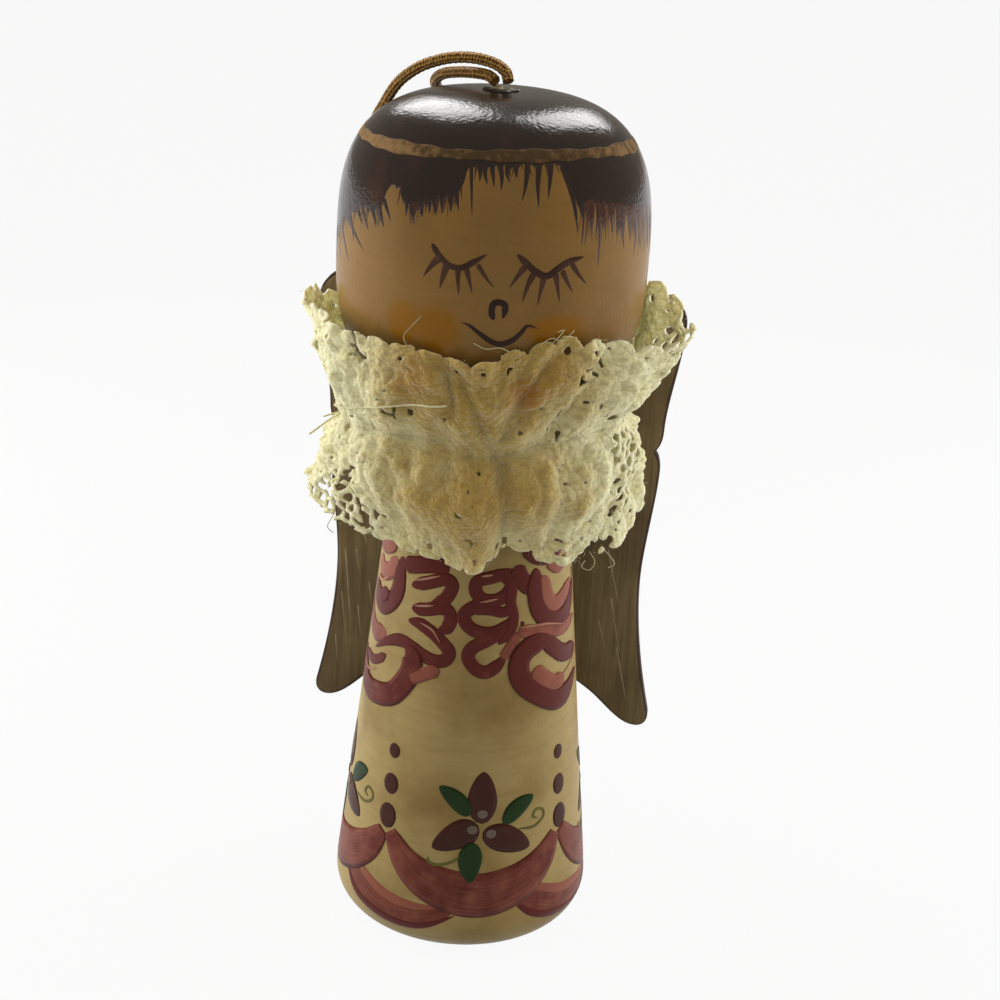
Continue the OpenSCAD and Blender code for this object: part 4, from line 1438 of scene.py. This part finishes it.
# Gathered pleats round the neck, and their depth
PLEATS = 26
PLEAT_DEEP = 0.2
# How far the upper ruffle bulges, and the lower one: at the sides, and how much more in front
UPPER_BULGE = 0.7
LOWER_BULGE, LOWER_FRONT_BULGE = 0.9, 1.3
# Angle from the front up to which the lower ruffle hangs over most
FRONT_WIDE = 50


def lace_point(a, s, upper, relief=0.0):
    """Place on the ruffle at angle a and share s of the way from the gathered line to the edge. The
    first share, the tuck, runs outwards hidden between the two ruffles. From there the cloth bulges
    on its way to the edge, by the sine of the share left. At the back it lies flat on the wood."""
    lace = Settings("doll_lace")
    free = openness(a)
    tucked = smooth(s / lace.tuck)
    v = np.clip((s - lace.tuck) / (1 - lace.tuck), 0, 1)
    root = lace.gather_height + round_table(a, GATHER_RISE) * tucked
    edge = round_table(a, UPPER_EDGE if upper else LOWER_EDGE)
    reach = round_table(a, UPPER_REACH if upper else LOWER_REACH)
    z = root + (edge - root) * v ** 1.1
    loose = smooth(v / 0.2)
    wave = crumpled(a / WAVE_WIDE, 0 * v, 9, 360 // WAVE_WIDE)
    fold = crumpled(a / FOLD_WIDE, 4 * s, 3 if upper else 4, 360 // FOLD_WIDE) * loose
    wrinkle = crumpled(a / WRINKLE_WIDE, 8 * s, 5 if upper else 6, int(360 / WRINKLE_WIDE)) * loose
    pleat = np.sin(PLEATS * a * DEG + 1.5 * np.sin(3 * a * DEG)) * np.exp(-4 * v)
    front = np.exp(-(front_turn(a) / FRONT_WIDE) ** 4)
    belly = front * np.sin(math.pi * v) ** 2 + (1 - front) * np.sin(math.pi * v ** 0.8)
    bulge = (UPPER_BULGE if upper else LOWER_BULGE + LOWER_FRONT_BULGE * front) * belly
    waist = lace.waist + round_table(a, GATHER_REACH)
    neck = Settings("doll_skirt").neck_radius + lace.gap
    wood = np.maximum(neck, head_radius(z) * (z > SEAT_Z) if upper else skirt_radius(z)) + lace.gap
    soft = WAVE_DEEP * wave + FOLD_DEEP * fold + WRINKLE_DEEP * wrinkle + PLEAT_DEEP * pleat
    soft = soft - creased(a, z) + relief * loose
    r = neck + tucked * (waist + (reach - waist) * v + bulge + soft - neck)
    flat = wood + 0.15 * (1 + pleat)
    r = free * np.maximum(r, wood) + (1 - free) * flat
    return around(r, a, z + free * tucked * (0.3 * fold * (1 - v) + 0.4 * relief * loose))


def hex_distance(x, y, spacing):
    """Distance to the nearest centre of a honeycomb: the nearer of two rectangular lattices."""
    tall = spacing * math.sqrt(3)
    best = None
    for shift in (0, 0.5):
        dx = (x / spacing - shift + 0.5) % 1 - 0.5
        dy = (y / tall - shift + 0.5) % 1 - 0.5
        far = np.hypot(dx * spacing, dy * tall)
        best = far if best is None else np.minimum(best, far)
    return best


# Places where the net of the upper (True) and lower ruffle shows open: degrees from the front, share of
# the way to the edge, and sizes
OPEN_NET = {
    True: [(80, 0.72, 11, 0.3), (-84, 0.55, 9, 0.25)],
    False: [(-58, 0.82, 13, 0.24), (64, 0.5, 9, 0.34), (12, 0.97, 4, 0.12)],
}


# Depth of the scallops, and distance of their eyelets from the edge and their radius
SCALLOP_DEEP = 0.85
EYELET_IN = 1.35
EYELET_RADIUS = 0.22


def lace_angle(x):
    """Angle round the neck of a place along the strip, whose ends meet at the back."""
    return x / Settings("doll_lace").strip * 360 + 180


def lace_pattern(x, y, tall, upper):
    """How far inside the thread a place is, in millimetres, negative in a hole or past the edge: a net
    whose holes are wide open in a few places and closed elsewhere, with uneven pits in clusters, and a
    scalloped edge with an eyelet in each scallop."""
    lace = Settings("doll_lace")
    a = front_turn(lace_angle(x))
    bare = np.maximum.reduce([np.exp(-(((a - at) / wide) ** 2 + ((y / tall - up) / high) ** 2) ** 2)
                              for at, up, wide, high in OPEN_NET[upper]])
    uneven = crumpled(x / 1.1, y / 1.1, 11 if upper else 12)
    bent = 0.3 * crumpled(x / 1.7, y / 1.7, 18)
    hole = np.minimum(0.42 * bare ** 0.6 + 0.05 * uneven, 0.39)
    net = hex_distance(x + bent, y - bent, lace.net) - lace.net * hole
    cluster = crumpled(x / 3.1, y / 2.6, 13 if upper else 14)
    pit = 0.62 * crumpled(x / 0.55, y / 0.62, 15 if upper else 16) + 0.3 * cluster + 0.12 * at_sides(a)
    sx = (x / lace.scallop) % 1 - 0.5
    bow = 1 - np.sqrt(np.maximum(1 - (2 * sx) ** 2 * 0.97, 0))
    edge = tall - SCALLOP_DEEP * bow + 0.3 * uneven
    eyelet = np.hypot(sx * lace.scallop, y - edge + EYELET_IN) - EYELET_RADIUS - 0.2 * uneven
    cloth = np.minimum.reduce([np.where(bare > 0.12, net, 1.0), 0.8 * (0.6 - pit), eyelet])
    return np.minimum(cloth, edge - y)


# Least squared slope of the pattern at a hole's edge, and the reach of that edge as a share of a cell
LEAST_STEEP = 0.2
NEAR_EDGE = 0.75
# Angle from the front up to which fibres stand off the lace
FUZZ_TO = 112
# Millimetres to a degree round the lace, and glue stains: degrees from the front, height, size and strength
STAIN_DEGREE = 0.28
STAINS = [(-26, 66, 3.0, 0.62), (15, 64.6, 2.2, 0.95), (27, 67.6, 2.8, 0.42)]


class DOLL_OT_lace(bpy.types.Operator):
    """Collar of gathered lace: an upper and a lower ruffle with real holes"""
    bl_idname = "doll.lace"
    bl_label = "Lace collar"

    def execute(self, context):
        material = lace_finish()
        upper = self.ruffle("lace_upper_ruffle", True, material)
        self.ruffle("lace_lower_ruffle", False, material)
        self.fuzz(material)
        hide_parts("lace_collar")
        return {"FINISHED"}

    def ruffle(self, name, upper, material):
        """A grid over the flat strip, without the cells that lie in a hole; the points next to a hole
        move on to its edge by one step along the pattern's slope."""
        lace = Settings("doll_lace")
        tall = lace.upper_width if upper else lace.lower_width
        columns = int(lace.strip / lace.cell)
        rows = int(tall / lace.cell) + 2
        x, y = np.meshgrid(np.arange(columns) * lace.strip / columns, np.linspace(0, tall, rows))
        value = lace_pattern(x, y, tall, upper)
        cell_x = lace.strip / columns
        cell_y = tall / (rows - 1)
        slope_x = (np.roll(value, -1, 1) - np.roll(value, 1, 1)) / (2 * cell_x)
        slope_y = np.gradient(value, cell_y, axis=0)
        steep = np.maximum(slope_x ** 2 + slope_y ** 2, LEAST_STEEP)
        move = np.where(np.abs(value) < NEAR_EDGE * lace.cell, value / steep, 0)
        x = x - np.clip(move * slope_x, -0.5 * cell_x, 0.5 * cell_x)
        y = np.clip(y - np.clip(move * slope_y, -0.5 * cell_y, 0.5 * cell_y), 0, tall)
        a = lace_angle(x)
        rough = 0.5 + at_sides(a)
        relief = rough * (0.19 * crumpled(x / 0.62, y / 0.62, 21) + 0.2 * crumpled(x / 1.3, y / 1.3, 22))
        points = lace_point(a, y / tall, upper, relief)
        if not upper:
            points = self.pressed(points, a)
        z = points[..., 2]
        quads = grid_quads(rows, columns, wrap_columns=True)
        quads = quads[value.ravel()[quads].mean(1) > 0]
        used, again = np.unique(quads, return_inverse=True)
        turn = front_turn(a)
        soak = sum(strength * np.exp(-((turn - sa) * STAIN_DEGREE / size) ** 2 - ((z - sz) / size) ** 2)
                   for sa, sz, size, strength in STAINS)
        pile = Pile()
        flat = np.stack([x, y], axis=-1).reshape(-1, 2)[used]
        skin = points.reshape(-1, 3)[used]
        pile.add(skin, again.reshape(quads.shape), (), flat, soak.ravel()[used])
        piece = make_piece(name, pile, material, closed=False)
        thick = piece.modifiers.new("thickness", "SOLIDIFY")
        thick.thickness = lace.thread * MM
        thick.offset = 0
        shown = float(np.isin(np.arange(value.size), used).mean())
        lace.strip * MM
        lace.strip * tall * shown * MM * MM
        return piece

    def fuzz(self, material):
        """Short fibres that stand off the cotton: thin tapered tubes, each with its own lean and curl."""
        lace = Settings("doll_lace")
        rng = np.random.default_rng(31)
        count = int(lace.fibres)
        pile = Pile()
        sides, steps = 3, 5
        turn = np.linspace(0, 2 * math.pi, sides, endpoint=False)[:, None]
        t = np.linspace(0, 1, steps)[:, None]
        first = np.arange(count)[:, None, None] * sides * steps
        quads = (grid_quads(steps, sides, wrap_columns=True)[None] + first).reshape(-1, 4)
        last = sides * (steps - 1)
        ends = np.concatenate([first[:, 0] + np.arange(sides)[::-1], first[:, 0] + last + np.arange(sides)])
        for upper in (True, False):
            a = rng.uniform(-FUZZ_TO, FUZZ_TO, count)
            s = 0.25 + 0.75 * rng.uniform(0, 1, count) ** 0.5
            root = lace_point(a, s, upper)
            out = around(1, a, (0.8 if upper else -0.8) * s ** 4)
            way = unit(out + rng.normal(0, 0.7, (count, 3)))
            side = unit(np.cross(way, rng.normal(0, 1, (count, 3))))
            over = np.cross(way, side)
            tall = (lace.fibre * rng.uniform(0.25, 1, count) ** 2)[:, None, None]
            curl = rng.uniform(-0.8, 0.8, count)[:, None, None]
            line = root[:, None] + tall * (t * way[:, None] + curl * t ** 2 * side[:, None])
            thin = lace.fibre_radius * (1 - 0.6 * t[:, None])
            ring = thin * (np.cos(turn) * side[:, None, None] + np.sin(turn) * over[:, None, None])
            pile.add(line[:, :, None] + ring, quads, list(ends))
        make_piece("lace_fuzz", pile, material)

    def pressed(self, points, a):
        """Keeps the lace at the back clear of the wing panel's front, which presses it flat."""
        front = Settings("doll_wings").front - WING_GAP
        reach = front / np.cos(np.minimum(from_back(a), FREE_FROM) * DEG)
        far = np.hypot(points[..., 0], points[..., 1])
        share = np.minimum(1, reach / far)[..., None]
        return points * np.concatenate([share, share, np.ones_like(share)], axis=-1)


# The gathering thread: radius of its ring in the gathers, lift of its long end, and radius of stray fibres
THREAD_RADIUS = 9.7
THREAD_LIFT = 0.45
STRAY_RADIUS = 0.045


# The long end of the thread, laid over the left of the upper ruffle: degrees from the front and share
# of the way up
LONG_TAIL = [(-13, 0.57), (-20, 0.53), (-30, 0.47), (-44, 0.385), (-58, 0.335), (-72, 0.27), (-86, 0.24)]
# Its short ends, from the gathers out at the left
THREAD_TAILS = [
    [(-9, -2, 59), (-12.6, -4.2, 59.4), (-15.4, -5.4, 58.4), (-17.8, -6, 56.6)],
    [(-9, -2.4, 59), (-12.4, -5, 59.8), (-14.8, -6, 59.2), (-16.4, -6, 58.6)],
]

# Loose fibres: degrees from the front, share of the way to the edge, tier, and steps from there
STRAY_FIBRES = [
    (-27, 0.98, True, [(0, 0, -0.3), (-0.6, -0.5, 1.2), (0.2, -0.6, 2.4), (1, -0.2, 3.2)]),
    (18, 0.98, True, [(0, 0, -0.2), (1.2, -0.3, 0.8), (2.4, -0.1, 0.6), (3.4, 0.3, 1.6)]),
    (22, 0.97, True, [(0, 0, -0.2), (0.8, -0.4, 0.9), (1.2, -0.2, 1.5), (0.6, 0, 1.2)]),
    (10, 0.98, True, [(0, 0, -0.2), (-1.4, -0.4, 0.5), (-2.8, -0.3, 0.3), (-4, 0.1, 0.7)]),
    (48, 0.97, False, [(0, 0, 0.2), (0.6, -0.3, -0.8), (0.1, -0.3, -1.7), (-0.7, -0.1, -1.5),
                       (-0.4, 0, -0.8)]),
    (52, 0.97, False, [(0, 0, 0.2), (0.8, -0.2, -0.5), (1.3, -0.1, -1.4), (0.7, 0, -1.9)]),
    (-58, 0.97, False, [(0, 0, 0.2), (-0.5, -0.3, -0.9), (0.1, -0.3, -1.6)]),
]


class DOLL_OT_thread(bpy.types.Operator):
    """Thread drawn round the gathers, with its loose ends and a few stray fibres"""
    bl_idname = "doll.thread"
    bl_label = "Gathering thread"

    def execute(self, context):
        s = Settings("doll_cord")
        lace = Settings("doll_lace")
        pile = Pile()
        a = np.linspace(-25, 335, 400)
        r = THREAD_RADIUS + 0.12 * np.sin(9 * a * DEG) * openness(a)
        z = lace.gather_height + 0.1 * np.sin(7 * a * DEG)
        add_tube(pile, around(r, a, z), s.thread / 2, 8)
        turn, share = spline(LONG_TAIL, 80).T
        laid = lace_point(turn, share, True)
        laid += THREAD_LIFT * unit(laid * (1, 1, 0))
        add_tube(pile, laid, s.thread / 2, 8)
        for tail in THREAD_TAILS:
            add_tube(pile, spline(tail, 64), s.thread / 2, 8)
        piece = make_piece("gathering_thread_tied", pile, thread_finish())
        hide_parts("gathering_thread")
        fibres = Pile()
        for a, share, upper, steps in STRAY_FIBRES:
            root = lace_point(np.array(float(a)), np.array(share), upper)
            add_tube(fibres, spline(root + np.array(steps), 40), STRAY_RADIUS, 6)
        make_piece("stray_fibres", fibres, piece.data.materials[0])
        return {"FINISHED"}


class DOLL_OT_dowel(bpy.types.Operator):
    """Grain on the neck dowel, which stays hidden between skirt and head"""
    bl_idname = "doll.dowel"
    bl_label = "Neck dowel"

    def execute(self, context):
        dress_node("neck_dowel", wood_finish())
        return {"FINISHED"}


# The stage

# Lights: name, property with the power, place, width and height, all turned to one point
LIGHTS = [
    ("left_light", "left_light", (-205, 60, 50), 280, 280),
    ("right_light", "right_light", (205, 60, 48), 280, 280),
    ("top_light", "top_light", (-30, -20, 300), 130, 130),
    ("front_light", "front_light", (30, -260, 160), 200, 200),
    ("gloss_left", "gloss_light", (-70, 226, 277), 92, 190),
    ("gloss_right", "gloss_light", (90, 210, 285), 92, 190),
]
LIGHT_AIM = (0, 0, 55)
SENSOR = 36
FLOOR_HALF = 1500
WHITE = (1, 1, 1, 1)
WARM = (1, 0.93, 0.8, 1)
FLOOR_GREY = (0.5, 0.5, 0.5, 1)
# Share of the floor's own shading that its white hides from the camera
FLOOR_WHITE = 0.93


class DOLL_OT_stage(bpy.types.Operator):
    """Pale floor, soft lights and the camera"""
    bl_idname = "doll.stage"
    bl_label = "Stage"

    def execute(self, context):
        s = Settings("doll_stage")
        self.camera(s)
        self.floor()
        self.world(s)
        for name, power, place, wide, tall in LIGHTS:
            data = bpy.data.lights.new(name, "AREA")
            data.shape = "RECTANGLE"
            data.size = wide * MM
            data.size_y = tall * MM
            data.energy = getattr(s, power)
            lamp = bpy.data.objects.new(name, data)
            lamp.visible_camera = False
            lamp.visible_glossy = name.startswith("gloss")
            lamp.visible_diffuse = not lamp.visible_glossy
            lamp.location = Vector(place) * MM
            lamp.rotation_euler = (Vector(LIGHT_AIM) - Vector(place)).to_track_quat("-Z", "Y").to_euler()
            bpy.context.scene.collection.objects.link(lamp)
        return {"FINISHED"}

    def camera(self, s):
        data = bpy.data.cameras.new("camera")
        data.lens = s.focal
        data.sensor_width = SENSOR
        camera = bpy.data.objects.new("camera", data)
        eye = Vector((s.camera_aside, -s.camera_distance, s.camera_height))
        look = (Vector((s.camera_aside, 0, s.aim_height)) - eye).normalized()
        right = Vector((1, 0, 0))
        up = right.cross(look).normalized()
        roll = s.camera_roll * DEG
        turned_right = math.cos(roll) * right + math.sin(roll) * up
        turned_up = math.cos(roll) * up - math.sin(roll) * right
        axes = Matrix((turned_right, turned_up, -look)).transposed()
        camera.matrix_world = Matrix.Translation(eye * MM) @ axes.to_4x4()
        bpy.context.scene.collection.objects.link(camera)
        bpy.context.scene.camera = camera
        bpy.context.scene.view_settings.view_transform = "Standard"

    def floor(self):
        """A wide pale plane that the camera sees as nearly white, with the doll's shadow on it."""
        t = np.linspace(-FLOOR_HALF, FLOOR_HALF, 3)
        x, y = np.meshgrid(t, t)
        mesh = bpy.data.meshes.new("floor")
        points = np.stack([x, y, 0 * x], axis=-1).reshape(-1, 3) * MM
        mesh.from_pydata(points.tolist(), [], grid_quads(3, 3).tolist())
        floor = bpy.data.objects.new("floor", mesh)
        f = Finish("pale_floor", 0.9, **{"Base Color": FLOOR_GREY})
        glow = f.add("ShaderNodeEmission", {"Color": WHITE, "Strength": 1.0})
        share = f.times(f.seen_rays("Is Glossy Ray", "Is Transmission Ray"), FLOOR_WHITE)
        both = f.add("ShaderNodeMixShader", {0: share, 1: f.shader.outputs[0], 2: glow.outputs[0]})
        f.feed(f.tree.nodes["Material Output"].inputs["Surface"], both.outputs[0])
        mesh.materials.append(f.material)
        bpy.context.scene.collection.objects.link(floor)

    def world(self, s):
        """Even warm light all round, which the camera itself sees as white."""
        world = bpy.data.worlds.new("studio")
        world.use_nodes = True
        f = Nodes(world.node_tree)
        background = f.tree.nodes["Background"].inputs
        f.feed(background["Color"], f.mix(f.seen_rays(), WARM, WHITE))
        f.feed(background["Strength"], f.plus(f.times(f.seen_rays(), 1 - s.ambient), s.ambient))
        bpy.context.scene.world = world


OPERATORS = [
    DOLL_OT_stage, DOLL_OT_cord, DOLL_OT_glue, DOLL_OT_dowel, DOLL_OT_skirt, DOLL_OT_skirt_paint,
    DOLL_OT_head, DOLL_OT_hair, DOLL_OT_face, DOLL_OT_wings, DOLL_OT_lace, DOLL_OT_thread,
]


class DOLL_PT_panel(bpy.types.Panel):
    """Buttons for the doll's pieces"""
    bl_idname = "DOLL_PT_panel"
    bl_label = "Turned angel doll"
    bl_space_type = "VIEW_3D"
    bl_region_type = "UI"
    bl_category = "Doll"

    def draw(self, context):
        for operator in OPERATORS:
            self.layout.operator(operator.bl_idname)


CLASSES = [*SETTINGS.values(), *OPERATORS, DOLL_PT_panel]


def register():
    for made in CLASSES:
        bpy.utils.register_class(made)
    for name, group in SETTINGS.items():
        setattr(bpy.types.Scene, name, PointerProperty(type=group))


def unregister():
    for name in SETTINGS:
        delattr(bpy.types.Scene, name)
    for made in reversed(CLASSES):
        bpy.utils.unregister_class(made)


def main():
    """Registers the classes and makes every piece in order."""
    register()
    for operator in OPERATORS:
        group, name = operator.bl_idname.split(".")
        getattr(getattr(bpy.ops, group), name)()
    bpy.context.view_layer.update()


if __name__ == "__main__":
    main()
